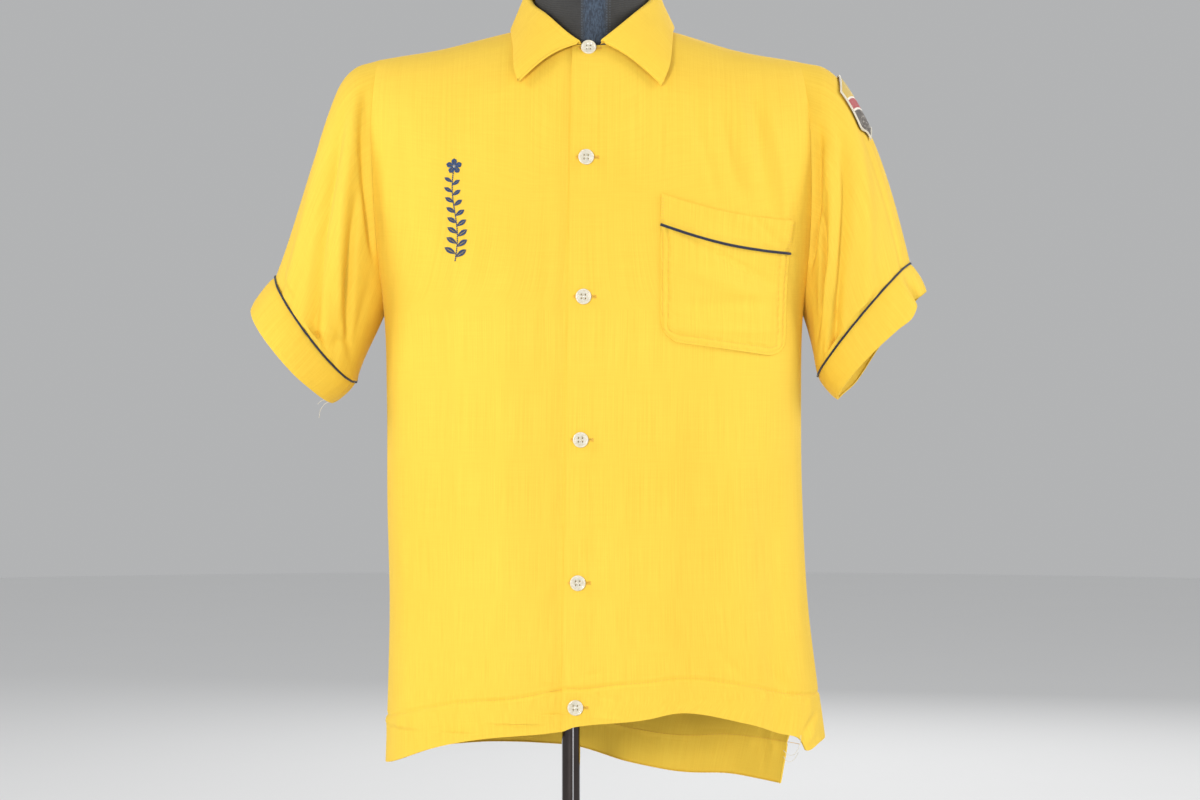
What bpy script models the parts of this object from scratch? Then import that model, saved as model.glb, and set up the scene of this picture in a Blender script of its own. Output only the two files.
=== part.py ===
"""Short-sleeved bowling shirt, buttoned on a limbless dress form that stands on a round base.

Every length below is in millimetres and becomes metres where a mesh is made. X grows towards the
wearer's left, Y towards the wearer's back and Z upwards; the origin is under the middle of the base,
on the axis of the pole. "side" is -1 for the wearer's right and +1 for the wearer's left.
"""

import bisect
import math
from typing import NamedTuple

import bmesh
import bpy
from mathutils import Vector

MM = 0.001
RIGHT, LEFT = -1, 1
SIDE_NAMES = {RIGHT: "right", LEFT: "left"}

# Cloth, and the air left between pieces that meet.
CLOTH = 1.2
TRIM_CLOTH = 1.5
SEAM_GAP = 0.3
# What a wall's inner edge leans past its seam, where the panels round over.
SEAM_EASE = 0.17

# The hang of the body: one squarish oval section at each height, narrower to one side than the other.
CENTRE_X = 22.0
SQUARENESS = 2.4
VENT_TOP = 412.0
UNDERARM = 786.0
ARMHOLE_DEPTH_SHARE = 0.5
VENT_ROWS, HANG_ROWS, ARM_ROWS, CAP_ROWS = 3, 8, 7, 6
FRONT_COLUMNS = 16
BACK_COLUMNS_A_SIDE = 12

# The closing edge of the upper front, the buttons' line, and how far the lower front runs under.
PLACKET_EDGE_TOP, PLACKET_EDGE_BOTTOM = 2.0, -7.5
UNDERLAP_PAST_BUTTONS = 17.0
UNDERLAP_DEPTH = 2.1
UNDERLAP_RAMP = 12.0

BUTTON_DIAMETER = 15.0
BUTTON_THICKNESS = 2.6
BUTTON_RIM = 2.0
BUTTON_DISH = 0.7
BUTTON_HOLE = 1.7
BUTTON_HOLE_SPACING = 3.6
BUTTON_SIDES = 16
# A new rim on a button's face starts this far in, in metres, before it takes its own size.
INSET_START = 0.00005

NECK_HALF_WIDTH = 61.5
NECK_CENTRE_X = 21.0

PIPING_DIAMETER = 2.6
POCKET_LIFT = 0.6
POCKET_BULGE = 1.6
PATCH_LIFT = 1.2

FORM_CLEARANCE = 0.5
FORM_NECK_CLEARANCE = 3.0
FORM_NECK_REACH = 60.0
FORM_BOTTOM = 440.0
FORM_NECK_TOP = 1132.0
FORM_NECK_HALF_WIDTH = 57.0
FORM_NECK_HALF_DEPTH = 57.5
FORM_NECK_Y = -4.5
FORM_NECK_FOOT = 1000.0
FORM_TOP_ROUNDING = 6.0
FORM_COLUMNS = 16
FORM_ROWS = 8

POLE_DIAMETER = 18.5
BASE_DIAMETER = 310.0
BASE_EDGE = 7.0
BASE_CROWN = 16.0
BASE_SOCKET_DIAMETER = 44.0
BASE_SOCKET_HEIGHT = 46.0
BASE_SIDES = 36


class Section(NamedTuple):
    """Half widths and depths of the shirt's body at a height."""

    height: float
    right: float
    left: float
    front: float
    back: float


SECTIONS = (
    Section(340.0, 206.0, 234.0, 117.0, 112.0),
    Section(412.0, 203.5, 224.5, 119.0, 111.0),
    Section(500.0, 201.5, 214.0, 121.0, 110.0),
    Section(600.0, 204.0, 208.5, 122.0, 110.0),
    Section(700.0, 204.5, 207.5, 123.0, 112.0),
    Section(786.0, 208.0, 209.5, 124.0, 114.0),
    Section(840.0, 219.0, 219.0, 124.0, 116.0),
    Section(900.0, 226.0, 224.0, 123.0, 117.0),
    Section(1040.0, 231.5, 223.0, 122.0, 114.0),
)


class Shoulder(NamedTuple):
    """Height of the shoulder ridge at a distance from the centre line, and how tall its rounding is."""

    across: float
    front_ridge: float
    back_ridge: float
    front_rounding: float
    back_rounding: float


SHOULDERS = (
    Shoulder(0.0, 1084.0, 1098.0, 178.0, 165.0),
    Shoulder(30.0, 1082.0, 1091.0, 176.0, 160.0),
    Shoulder(62.0, 1071.0, 1071.0, 165.0, 150.0),
    Shoulder(85.0, 1066.0, 1066.0, 155.0, 140.0),
    Shoulder(107.0, 1060.5, 1060.5, 145.0, 130.0),
    Shoulder(155.0, 1048.5, 1048.5, 122.0, 112.0),
    Shoulder(193.0, 1041.5, 1041.5, 105.0, 100.0),
    Shoulder(215.0, 1038.0, 1038.0, 98.0, 95.0),
)


class Neckline(NamedTuple):
    """Height of the neck edge at a distance from the centre line."""

    across: float
    front: float
    back: float


NECKLINES = (
    Neckline(0.0, 1044.0, 1068.5),
    Neckline(20.0, 1046.0, 1068.3),
    Neckline(38.0, 1053.0, 1068.0),
    Neckline(52.0, 1062.5, 1069.3),
    Neckline(61.5, 1071.2, 1071.2),
)


class HemPoint(NamedTuple):
    """Height of a hem at an X."""

    x: float
    height: float


FRONT_HEM = (
    HemPoint(-186.0, 340.0),
    HemPoint(-134.0, 363.0),
    HemPoint(-86.0, 374.5),
    HemPoint(-9.0, 383.0),
    HemPoint(6.0, 388.0),
    HemPoint(72.0, 394.5),
    HemPoint(115.0, 400.0),
    HemPoint(172.0, 388.0),
    HemPoint(223.0, 367.0),
    HemPoint(255.0, 346.0),
)
BACK_HEM = (
    HemPoint(-186.0, 343.0),
    HemPoint(-90.0, 345.0),
    HemPoint(0.0, 340.0),
    HemPoint(55.0, 323.5),
    HemPoint(122.0, 311.0),
    HemPoint(219.0, 300.0),
)


class Vent(NamedTuple):
    """How far each panel's edge draws away from the side seam's line below the seam.

    The turns are bearings at the hem, opening is the power by which they grow downwards, and the
    back is also tucked in behind the front.
    """

    side: int
    front_turn: float
    back_turn: float
    opening: float
    back_tuck: float


VENTS = (Vent(RIGHT, 3.0, 9.0, 1.2, 5.0), Vent(LEFT, 6.0, 33.0, 0.25, 16.0))


class Fold(NamedTuple):
    """A soft fold down a panel: a trough where depth is below zero, a ridge above it."""

    face: str
    x_top: float
    x_bottom: float
    top: float
    bottom: float
    half_width: float
    depth: float


FOLDS = (
    Fold("front", -160.0, -150.0, 1010.0, 800.0, 9.0, -2.6),
    Fold("front", -128.0, -122.0, 1000.0, 780.0, 16.0, 2.0),
    Fold("front", -92.0, -86.0, 960.0, 380.0, 13.0, -2.4),
    Fold("front", -30.0, -36.0, 900.0, 420.0, 18.0, -2.0),
    Fold("front", 58.0, 50.0, 800.0, 400.0, 18.0, 3.4),
    Fold("front", 98.0, 88.0, 720.0, 390.0, 20.0, -4.2),
    Fold("front", 150.0, 160.0, 700.0, 380.0, 22.0, 3.2),
    Fold("front", 196.0, 206.0, 640.0, 360.0, 13.0, -3.2),
    Fold("front", 136.0, 170.0, 1010.0, 880.0, 10.0, -2.2),
    Fold("back", -150.0, -140.0, 990.0, 420.0, 16.0, -4.0),
    Fold("back", -96.0, -84.0, 960.0, 340.0, 20.0, 4.0),
    Fold("back", -36.0, -30.0, 900.0, 340.0, 18.0, -3.6),
    Fold("back", 34.0, 40.0, 920.0, 320.0, 20.0, 4.2),
    Fold("back", 92.0, 104.0, 960.0, 300.0, 18.0, -4.6),
    Fold("back", 150.0, 166.0, 900.0, 300.0, 18.0, 3.6),
    Fold("back", 190.0, 186.0, 980.0, 500.0, 12.0, -3.4),
)


class SleevePull(NamedTuple):
    """Where the cloth leaves the armhole and meets the cuff, by share of the way round.

    Round starts at the underarm and goes up the front, over the shoulder and down the back. The
    pulls are (outwards, towards the back, up) from each end of the sleeve. Near the top, each
    sleeve's own reach in SLEEVE_TOPS is the outward part.
    """

    round: float
    from_armhole: Vector
    from_cuff: Vector


SLEEVE_PULLS = (
    SleevePull(0.0, Vector((8.0, 0.0, -22.0)), Vector((-4.0, 0.0, 20.0))),
    SleevePull(0.12, Vector((13.0, -12.0, -20.0)), Vector((-12.0, -4.0, 30.0))),
    SleevePull(0.25, Vector((26.0, -24.0, -20.0)), Vector((-20.0, -14.0, 48.0))),
    SleevePull(0.38, Vector((0.0, -20.0, -16.0)), Vector((0.0, -12.0, 80.0))),
    SleevePull(0.5, Vector((0.0, 0.0, -14.0)), Vector((0.0, 0.0, 106.0))),
    SleevePull(0.62, Vector((0.0, 18.0, -16.0)), Vector((0.0, 12.0, 80.0))),
    SleevePull(0.75, Vector((24.0, 22.0, -20.0)), Vector((-20.0, 14.0, 48.0))),
    SleevePull(0.88, Vector((13.0, 12.0, -20.0)), Vector((-12.0, 4.0, 30.0))),
    SleevePull(1.0, Vector((8.0, 0.0, -22.0)), Vector((-4.0, 0.0, 20.0))),
)


# The pulls at the top of each sleeve, from the armhole and from the cuff, and the part of their
# outward reach that the rows beside them take.
SLEEVE_TOPS = {
    RIGHT: (Vector((52.0, 0.0, -14.0)), Vector((-39.0, 0.0, 106.0))),
    LEFT: (Vector((62.0, 0.0, -14.0)), Vector((-25.0, 0.0, 106.0))),
}
BESIDE_TOP = 0.8


class Ring(NamedTuple):
    """An oblique oval across a sleeve: its centre and the way to its top, front and back."""

    centre: Vector
    to_top: Vector
    to_front: Vector
    to_back: Vector


SLEEVE_ENDS = {
    RIGHT: Ring(
        Vector((-254.0, 0.0, 772.0)),
        Vector((-40.0, 0.0, 52.5)),
        Vector((-1.5, -58.0, -9.0)),
        Vector((0.0, 56.0, 3.0)),
    ),
    LEFT: Ring(
        Vector((293.0, 0.0, 781.0)),
        Vector((46.0, 0.0, 56.0)),
        Vector((-8.0, -56.0, -6.5)),
        Vector((2.0, 56.0, 3.0)),
    ),
}
CUFF_ENDS = {
    RIGHT: Ring(
        Vector((-278.0, 0.0, 745.0)),
        Vector((-41.0, 0.0, 48.0)),
        Vector((-2.6, -62.0, -8.2)),
        Vector((0.0, 59.0, 6.0)),
    ),
    LEFT: Ring(
        Vector((310.5, 0.0, 753.0)),
        Vector((44.0, 0.0, 53.0)),
        Vector((-8.0, -59.0, -6.0)),
        Vector((3.0, 58.0, 6.0)),
    ),
}
SLEEVE_ROWS = 9
CUFF_ROWS = 2
CUFF_SWELL = 2.0
# From the sleeve's end: the middle of the piping, and the start of the cuff.
PIPING_DOWN = PIPING_DIAMETER / 2 + SEAM_GAP + 0.1
CUFF_DOWN = PIPING_DIAMETER + 2 * SEAM_GAP + 0.3
PIPING_LIFT = 0.5


class SleeveFold(NamedTuple):
    """A fold along a sleeve, at a share of the way round and between two shares of its length."""

    side: int
    round: float
    half_round: float
    start: float
    end: float
    depth: float


SLEEVE_FOLDS = (
    SleeveFold(RIGHT, 0.17, 0.035, 0.05, 1.0, 3.0),
    SleeveFold(RIGHT, 0.245, 0.04, 0.1, 1.0, -4.2),
    SleeveFold(RIGHT, 0.34, 0.05, 0.2, 0.95, 2.2),
    SleeveFold(RIGHT, 0.72, 0.045, 0.1, 1.0, -4.4),
    SleeveFold(RIGHT, 0.81, 0.04, 0.1, 1.0, 2.6),
    SleeveFold(LEFT, 0.17, 0.035, 0.05, 1.0, 3.0),
    SleeveFold(LEFT, 0.24, 0.04, 0.1, 1.0, -4.0),
    SleeveFold(LEFT, 0.36, 0.03, 0.3, 1.0, -1.8),
    SleeveFold(LEFT, 0.70, 0.045, 0.1, 1.0, -4.2),
    SleeveFold(LEFT, 0.80, 0.04, 0.1, 1.0, 2.8),
)


class CollarRow(NamedTuple):
    """Section of the collar, from the middle of the neck: where its stand starts, rolls and ends."""

    around: float
    stand: Vector
    roll: Vector
    edge: Vector
    bow: float


COLLAR_ROWS = (
    CollarRow(-1.0, Vector((-10, -78.2, 1045)), Vector((-12, -80.8, 1048)), Vector((-70, -101, 1006)), 5.5),
    CollarRow(-0.86, Vector((-24, -74, 1048.2)), Vector((-25, -76.5, 1058)), Vector((-74, -92.5, 1021)), 2.5),
    CollarRow(-0.7, Vector((-43, -60, 1057)), Vector((-43, -60, 1076)), Vector((-75.5, -69, 1042)), 1.0),
    CollarRow(-0.55, Vector((-56.5, -33, 1068)), Vector((-56.5, -33, 1090)), Vector((-78.5, -36, 1060.5)), 1.0),
    CollarRow(-0.42, Vector((-61.3, -4, 1072)), Vector((-61.3, -4, 1104)), Vector((-80, -2, 1070.5)), 1.0),
    CollarRow(-0.28, Vector((-57, 24, 1070.5)), Vector((-57, 24, 1113)), Vector((-76, 34, 1072.5)), 1.0),
    CollarRow(-0.14, Vector((-35, 51, 1069)), Vector((-35, 51, 1117)), Vector((-48, 78, 1066)), 1.0),
    CollarRow(0.0, Vector((0, 62.5, 1069.2)), Vector((0, 62.5, 1118)), Vector((0, 89, 1061)), 1.0),
    CollarRow(0.14, Vector((35, 51, 1069)), Vector((35, 51, 1117)), Vector((48, 78, 1066)), 1.0),
    CollarRow(0.28, Vector((57, 24, 1070.5)), Vector((57, 24, 1113)), Vector((76, 34, 1072.5)), 1.0),
    CollarRow(0.42, Vector((61.3, -4, 1072)), Vector((61.3, -4, 1106)), Vector((81, -2, 1072)), 1.0),
    CollarRow(0.55, Vector((56.5, -33, 1068)), Vector((56.5, -33, 1094)), Vector((79, -36, 1063)), 1.0),
    CollarRow(0.7, Vector((43, -60, 1057)), Vector((43, -60, 1079)), Vector((77, -69, 1044)), 1.0),
    CollarRow(0.86, Vector((24, -74, 1048.2)), Vector((25, -76.5, 1062)), Vector((74, -93, 1022)), 1.5),
    CollarRow(1.0, Vector((9, -78.8, 1045.5)), Vector((11, -81.5, 1050.2)), Vector((67.5, -101, 1005)), 4.5),
)
COLLAR_COLUMNS = 28
COLLAR_STAND_STEPS, COLLAR_ROLL_STEPS, COLLAR_FALL_STEPS = 2, 3, 4
COLLAR_ROLL_RADIUS = 2.6

# Buttons down the front, and the corners of what is sewn on, as X and height.
BUTTON_HEIGHTS = (1041.0, 931.5, 798.5, 662.0, 525.5, 406.5)
BUTTON_LINE_TOP, BUTTON_LINE_BOTTOM = 18.0, 5.5
BUTTONED_LENGTH = BUTTON_HEIGHTS[0] - BUTTON_HEIGHTS[-1]
BUTTON_LIFT = SEAM_GAP + 0.35


class Corners(NamedTuple):
    """A four-sided shape on the front: corners as (X, height)."""

    top_inner: tuple
    top_outer: tuple
    bottom_inner: tuple
    bottom_outer: tuple


POCKET = Corners((86.5, 866.5), (210.0, 841.0), (86.5, 757.0), (209.0, 741.0))
POCKET_BAND = Corners((87.5, 897.0), (211.0, 873.5), (86.5, 868.0), (210.0, 842.5))
POCKET_MOUTH_SAG = 5.0
POCKET_CORNER_ROUND = 20.0
POCKET_COLUMNS, POCKET_ROWS, POCKET_BAND_ROWS = 12, 8, 2
BAND_LIFT = 0.1
# The piping along the pocket's mouth: a share of the band below it, and out from the pocket.
MOUTH_PIPING_UP = -0.025
MOUTH_PIPING_LIFT = BAND_LIFT + SEAM_GAP + PIPING_DIAMETER / 2 + 0.15

PATCH_ROUND, PATCH_ALONG = (0.42, 0.558), (0.21, 0.56)
PATCH_COLUMNS, PATCH_ROWS = 4, 6
# How far round the sleeve the patch leans, from its top to its foot.
PATCH_LEAN = 0.03


class FormSection(NamedTuple):
    """Half width and depths of the dress form at a height, and how far it leans to the side."""

    height: float
    lean: float
    half_width: float
    front: float
    back: float


FORM_SECTIONS = (
    FormSection(440.0, 9.0, 158.0, 92.0, 88.0),
    FormSection(520.0, 11.0, 164.0, 96.0, 92.0),
    FormSection(650.0, 14.0, 148.0, 88.0, 78.0),
    FormSection(780.0, 17.0, 164.0, 100.0, 88.0),
    FormSection(880.0, 20.0, 176.0, 106.0, 96.0),
    FormSection(960.0, 22.0, 180.0, 104.0, 98.0),
    FormSection(1040.0, 22.0, 180.0, 104.0, 98.0),
)


def smooth_at(rows, along, column, at):
    """Value of a table's column at a place along it, on a smooth curve through its rows."""
    places = [getattr(row, along) for row in rows]
    values = [getattr(row, column) for row in rows]
    if at <= places[0]:
        return values[0]
    if at >= places[-1]:
        return values[-1]

    def slope(index):
        before, after = max(index - 1, 0), min(index + 1, len(rows) - 1)
        return (values[after] - values[before]) / (places[after] - places[before])

    index = bisect.bisect_right(places, at) - 1
    step = places[index + 1] - places[index]
    t = (at - places[index]) / step
    return (
        values[index] * (2 * t**3 - 3 * t**2 + 1)
        + slope(index) * (step * (t**3 - 2 * t**2 + t))
        + values[index + 1] * (3 * t**2 - 2 * t**3)
        + slope(index + 1) * (step * (t**3 - t**2))
    )


def blend(first, last, share):
    """The value a share of the way from the first to the last."""
    return first + (last - first) * share


def ease(value):
    """0 below 0, 1 above 1, and a soft step between."""
    value = min(max(value, 0.0), 1.0)
    return value * value * (3 - 2 * value)


# ---------------------------------------------------------------------- the shirt's body


def half_width(side, face, height):
    """Half width of the body; below the vent the back is drawn in behind the front."""
    width = smooth_at(SECTIONS, "height", SIDE_NAMES[side], height)
    if face == "back" and height < VENT_TOP:
        tuck = next(vent.back_tuck for vent in VENTS if vent.side == side)
        width -= tuck * ease((VENT_TOP - height) / (VENT_TOP - SECTIONS[0].height))
    return width


def bearing_at_depth_share(share):
    """Bearing at which a section is this share of its full depth from the side seam line."""
    across = (1 - share**SQUARENESS) ** (1 / SQUARENESS)
    return math.atan2(across, share)


def bearing_at_x(side, x, height):
    """Bearing of the front at an X, below zero past the centre line."""
    across = side * (x - CENTRE_X) / smooth_at(SECTIONS, "height", SIDE_NAMES[side], height)
    out = (1 - min(abs(across), 0.999) ** SQUARENESS) ** (1 / SQUARENESS)
    return math.atan2(across, out)


def fold_depth(face, x, height):
    """How far the panel's folds move its cloth outwards at a place."""
    total = 0.0
    for fold in FOLDS:
        if fold.face != face:
            continue
        down = (fold.top - height) / (fold.top - fold.bottom)
        if not 0 < down < 1:
            continue
        middle = blend(fold.x_top, fold.x_bottom, down)
        fade = ease(down / 0.35) * (ease((1 - down) / 0.2) if fold.bottom > 430 else 1.0)
        total += fold.depth * fade * math.exp(-(((x - middle) / fold.half_width) ** 2))
    return total


def body_point(side, face, bearing, height, lean=0.0, lift=0.0):
    """A point of the body's outer face.

    lean is the angle up the shoulder's rounding, 0 on the hanging part and a right angle on the
    ridge, and height then counts for the widths alone. lift moves the point out from the cloth.
    """
    across, out = math.sin(bearing), math.cos(bearing)
    size = (abs(across) ** SQUARENESS + abs(out) ** SQUARENESS) ** (-1 / SQUARENESS)
    width = half_width(side, face, height)
    depth = smooth_at(SECTIONS, "height", face, height)
    x = CENTRE_X + side * width * across * size
    normal = Vector(
        (
            side * math.copysign(abs(across) ** (SQUARENESS - 1), across) / width,
            abs(out) ** (SQUARENESS - 1) / depth,
            0.0,
        )
    ).normalized()
    ridge = smooth_at(SHOULDERS, "across", face + "_ridge", abs(x - CENTRE_X))
    rounding = smooth_at(SHOULDERS, "across", face + "_rounding", abs(x - CENTRE_X))
    z = ridge - rounding * (1 - math.sin(lean)) if lean else height
    y = depth * out * size * math.cos(lean)
    normal = normal * math.cos(lean) + Vector((0.0, 0.0, math.sin(lean)))
    point = Vector((x, y, z)) + normal * (fold_depth(face, x, z) * math.cos(lean) + lift)
    return Vector((point.x, -point.y if face == "front" else point.y, point.z))


def front_at(x, z, lift):
    """A point lifted off the left front at an X and a height."""
    side = LEFT if x > CENTRE_X else RIGHT
    across = abs(x - CENTRE_X)
    ridge = smooth_at(SHOULDERS, "across", "front_ridge", across)
    rounding = smooth_at(SHOULDERS, "across", "front_rounding", across)
    lean = math.asin(max(0.0, 1 - (ridge - z) / rounding))
    return body_point(side, "front", bearing_at_x(side, x, z), z, lean, lift)


def rows_up():
    """The rows of a body panel from hem to shoulder: each the name of its zone and a share of it."""
    rows = [("vent", index / VENT_ROWS) for index in range(VENT_ROWS)]
    rows += [("hang", index / HANG_ROWS) for index in range(HANG_ROWS)]
    rows += [("arm", index / ARM_ROWS) for index in range(ARM_ROWS)]
    return rows + [("cap", index / CAP_ROWS) for index in range(CAP_ROWS + 1)]


def side_bearing(side, face, zone, share):
    """Bearing of a panel's side edge: the side seam, the vent below it or the armhole above it."""
    if zone == "vent":
        vent = next(vent for vent in VENTS if vent.side == side)
        if face == "front":
            return math.radians(90 - vent.front_turn * (1 - share))
        return math.radians(90 - vent.back_turn * (1 - share) ** vent.opening)
    if zone == "hang":
        return math.pi / 2
    depth_share = ARMHOLE_DEPTH_SHARE * (math.sin(share * math.pi / 2) if zone == "arm" else 1.0)
    return bearing_at_depth_share(depth_share)


def panel_point(side, face, column_share, zone, share, centre_edge=None):
    """A point of a front or of half the back, a share of the way from its centre edge to its side."""
    side_at = side_bearing(side, face, zone, share)
    hem = FRONT_HEM if face == "front" else BACK_HEM
    z, lean, x = UNDERARM, 0.0, CENTRE_X
    # X sets the height, and the height sets the width and so X: a few passes settle both.
    for _ in range(5):
        width = half_width(side, face, z)
        centre_at = 0.0 if centre_edge is None else bearing_at_x(side, centre_edge(z), z)
        bearing = blend(centre_at, side_at, column_share)
        across, out = math.sin(bearing), math.cos(bearing)
        size = (abs(across) ** SQUARENESS + abs(out) ** SQUARENESS) ** (-1 / SQUARENESS)
        x = CENTRE_X + side * width * across * size
        distance = abs(x - CENTRE_X)
        ridge = smooth_at(SHOULDERS, "across", face + "_ridge", distance)
        rounding = smooth_at(SHOULDERS, "across", face + "_rounding", distance)
        if zone == "vent":
            z = blend(smooth_at(hem, "x", "height", x), VENT_TOP, share)
        elif zone == "hang":
            z = blend(VENT_TOP, UNDERARM, share)
        elif zone == "arm":
            z = blend(UNDERARM, ridge - rounding, 1 - math.cos(share * math.pi / 2))
        else:
            top = math.pi / 2
            if distance < NECK_HALF_WIDTH:
                drop = ridge - smooth_at(NECKLINES, "across", face, distance)
                top = math.asin(1 - drop / rounding)
            lean = top * share
            z = ridge - rounding * (1 - math.sin(lean))
    return bearing, z, lean


def placket_edge(z):
    """X of the upper front's closing edge."""
    return blend(PLACKET_EDGE_TOP, PLACKET_EDGE_BOTTOM, (BUTTON_HEIGHTS[0] - z) / BUTTONED_LENGTH)


def button_line(z):
    """X of the buttons at a height."""
    return blend(BUTTON_LINE_TOP, BUTTON_LINE_BOTTOM, (BUTTON_HEIGHTS[0] - z) / BUTTONED_LENGTH)


def underlap_edge(z):
    """X of the lower front's closing edge, hidden under the upper front."""
    return button_line(z) + UNDERLAP_PAST_BUTTONS


def body_piece(side, face, column_share, row, centre_edge=None):
    """Outer point of a body panel's grid, drawn in from its seams by half the seam gap."""
    bearing, z, lean = panel_point(side, face, column_share, *row, centre_edge)
    lift = 0.0
    if face == "front" and side == RIGHT:
        x = body_point(side, face, bearing, z, lean).x
        lift = -UNDERLAP_DEPTH * ease((x - placket_edge(z)) / UNDERLAP_RAMP + 1.3)
    point = body_point(side, face, bearing, z, lean, lift)
    half_gap = SEAM_GAP / 2 + SEAM_EASE
    if row == ("cap", 1.0) and abs(point.x - CENTRE_X) > NECK_HALF_WIDTH - 1:
        point.y += half_gap if face == "back" else -half_gap
    if column_share == 1.0 and (row[0] in ("vent", "hang") or row == ("arm", 0.0)):
        point.y += half_gap if face == "back" else -half_gap
    return point


# ---------------------------------------------------------------------- sleeves and cuffs


def armhole(side):
    """The armhole's points, from the underarm up the front, over the shoulder and down the back."""
    rows = [row for row in rows_up() if row[0] in ("arm", "cap")]
    front = [body_point(side, "front", *panel_point(side, "front", 1.0, *row)) for row in rows]
    back = [body_point(side, "back", *panel_point(side, "back", 1.0, *row)) for row in rows]
    return front + back[-2:0:-1]


def around_shares(points):
    """Each point's share of the way round a closed run of points."""
    lengths = [(points[(i + 1) % len(points)] - p).length for i, p in enumerate(points)]
    total = sum(lengths)
    return [sum(lengths[:index]) / total for index in range(len(points))]


class Stop(NamedTuple):
    """A point at a share of the way round."""

    share: float
    point: Vector


def ring_point(ring, share):
    """A point of an oblique oval: 0 is its lowest, inner end and a half its top."""
    angle = share * math.tau
    sideways = math.sin(angle)
    to_side = ring.to_front if sideways > 0 else ring.to_back
    return ring.centre - ring.to_top * math.cos(angle) + to_side * abs(sideways)


class Sleeve:
    """One sleeve's outer face, as points by share round and share along."""

    def __init__(self, side):
        self.side = side
        self.start = armhole(side)
        self.shares = around_shares(self.start)
        shares, points = self.shares, self.start
        before = Stop(shares[-1] - 1.0, points[-1])
        stops = [before] + [Stop(s, p) for s, p in zip(shares, points)]
        self.stops = stops + [Stop(1.0, points[0]), Stop(1.0 + shares[1], points[1])]
        self.pulls = [self.reaching(row) for row in SLEEVE_PULLS]

    def reaching(self, row):
        """A row of pulls with this sleeve's own outward reach near the top."""
        nearness = {0.38: BESIDE_TOP, 0.5: 1.0, 0.62: BESIDE_TOP}.get(row.round, 0.0)
        start, end = (Vector((top.x * nearness, 0.0, 0.0)) for top in SLEEVE_TOPS[self.side])
        return SleevePull(row.round, row.from_armhole + start, row.from_cuff + end)

    def bare(self, around, along):
        """A point with no fold."""
        first = smooth_at(self.stops, "share", "point", around % 1.0)
        last = ring_point(SLEEVE_ENDS[self.side], around % 1.0)
        pull_out = smooth_at(self.pulls, "round", "from_armhole", around % 1.0).copy()
        pull_back = smooth_at(self.pulls, "round", "from_cuff", around % 1.0).copy()
        pull_out.x *= self.side
        pull_back.x *= self.side
        first = first + pull_out.normalized() * (SEAM_GAP + 0.15)
        t, u = along, 1 - along
        return (
            first * u**3
            + (first + pull_out) * (3 * u * u * t)
            + (last + pull_back) * (3 * u * t * t)
            + last * t**3
        )

    def fold(self, around, along):
        """How far the sleeve's folds move its cloth outwards."""
        total = 0.0
        for fold in SLEEVE_FOLDS:
            if fold.side != self.side:
                continue
            reach = (along - fold.start) / (fold.end - fold.start)
            if 0 < reach <= 1:
                fade = ease(reach / 0.4) * (ease((1.4 - reach) / 0.4))
                total += fold.depth * fade * math.exp(-(((around - fold.round) / fold.half_round) ** 2))
        return total

    def point(self, around, along, lift=0.0):
        """A point of the sleeve, moved out by its folds and by lift."""
        step = 0.01
        here = self.bare(around, along)
        round_way = self.bare(around + step, along) - self.bare(around - step, along)
        down_way = self.bare(around, min(along + step, 1)) - self.bare(around, max(along - step, 0))
        normal = round_way.cross(down_way).normalized() * -self.side
        return here + normal * (self.fold(around, along) + lift)


def cuff_point(side, around, along, down=0.0, lift=0.0):
    """A point of the cuff, which carries on from the sleeve's end and swells a little.

    down is a length past the share along, and lift a length outwards.
    """
    first = ring_point(SLEEVE_ENDS[side], around)
    last = ring_point(CUFF_ENDS[side], around)
    along += down / (last - first).length * (1 - along)
    point = blend(first, last, along)
    centre = blend(SLEEVE_ENDS[side].centre, CUFF_ENDS[side].centre, along)
    swell = CUFF_SWELL * math.sin(math.pi * min(along, 1.0)) + lift
    return point + (point - centre).normalized() * swell


# ---------------------------------------------------------------------- Blender objects


def clear_scene():
    """Empty the file, and make one collection for the shirt and its form and one for cutters."""
    for obj in list(bpy.data.objects):
        bpy.data.objects.remove(obj)
    for collection in list(bpy.data.collections):
        bpy.data.collections.remove(collection)
    for name in ("bowling_shirt_on_dress_form", "cutters"):
        bpy.context.scene.collection.children.link(bpy.data.collections.new(name))


def material(name, colour, roughness, metallic=0.0):
    """A Principled material, made once for each name."""
    if name in bpy.data.materials:
        return bpy.data.materials[name]
    made = bpy.data.materials.new(name)
    made.use_nodes = True
    shader = made.node_tree.nodes["Principled BSDF"]
    shader.inputs["Base Color"].default_value = (*colour, 1.0)
    shader.inputs["Roughness"].default_value = roughness
    shader.inputs["Metallic"].default_value = metallic
    made.diffuse_color = (*colour, 1.0)
    return made


def yellow_cloth():
    return material("yellow_cloth", (0.95, 0.63, 0.065), 0.82)


def navy_piping():
    return material("navy_piping", (0.016, 0.02, 0.045), 0.7)


def cream_button():
    return material("cream_button", (0.86, 0.78, 0.6), 0.3)


def patch_twill():
    return material("patch_twill", (0.75, 0.7, 0.6), 0.85)


def black_cover():
    return material("black_cover", (0.02, 0.02, 0.022), 0.85)


def chrome():
    return material("chrome", (0.62, 0.62, 0.64), 0.16, 1.0)


def new_object(name, shader, mesh):
    """A smooth-shaded object of the shirt's collection."""
    obj = bpy.data.objects.new(name, mesh)
    obj.data.materials.append(shader)
    obj.data.shade_smooth()
    bpy.data.collections["bowling_shirt_on_dress_form"].objects.link(obj)
    return obj


def mesh_from(shape, name):
    mesh = bpy.data.meshes.new(name)
    shape.to_mesh(mesh)
    shape.free()
    return mesh


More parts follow.
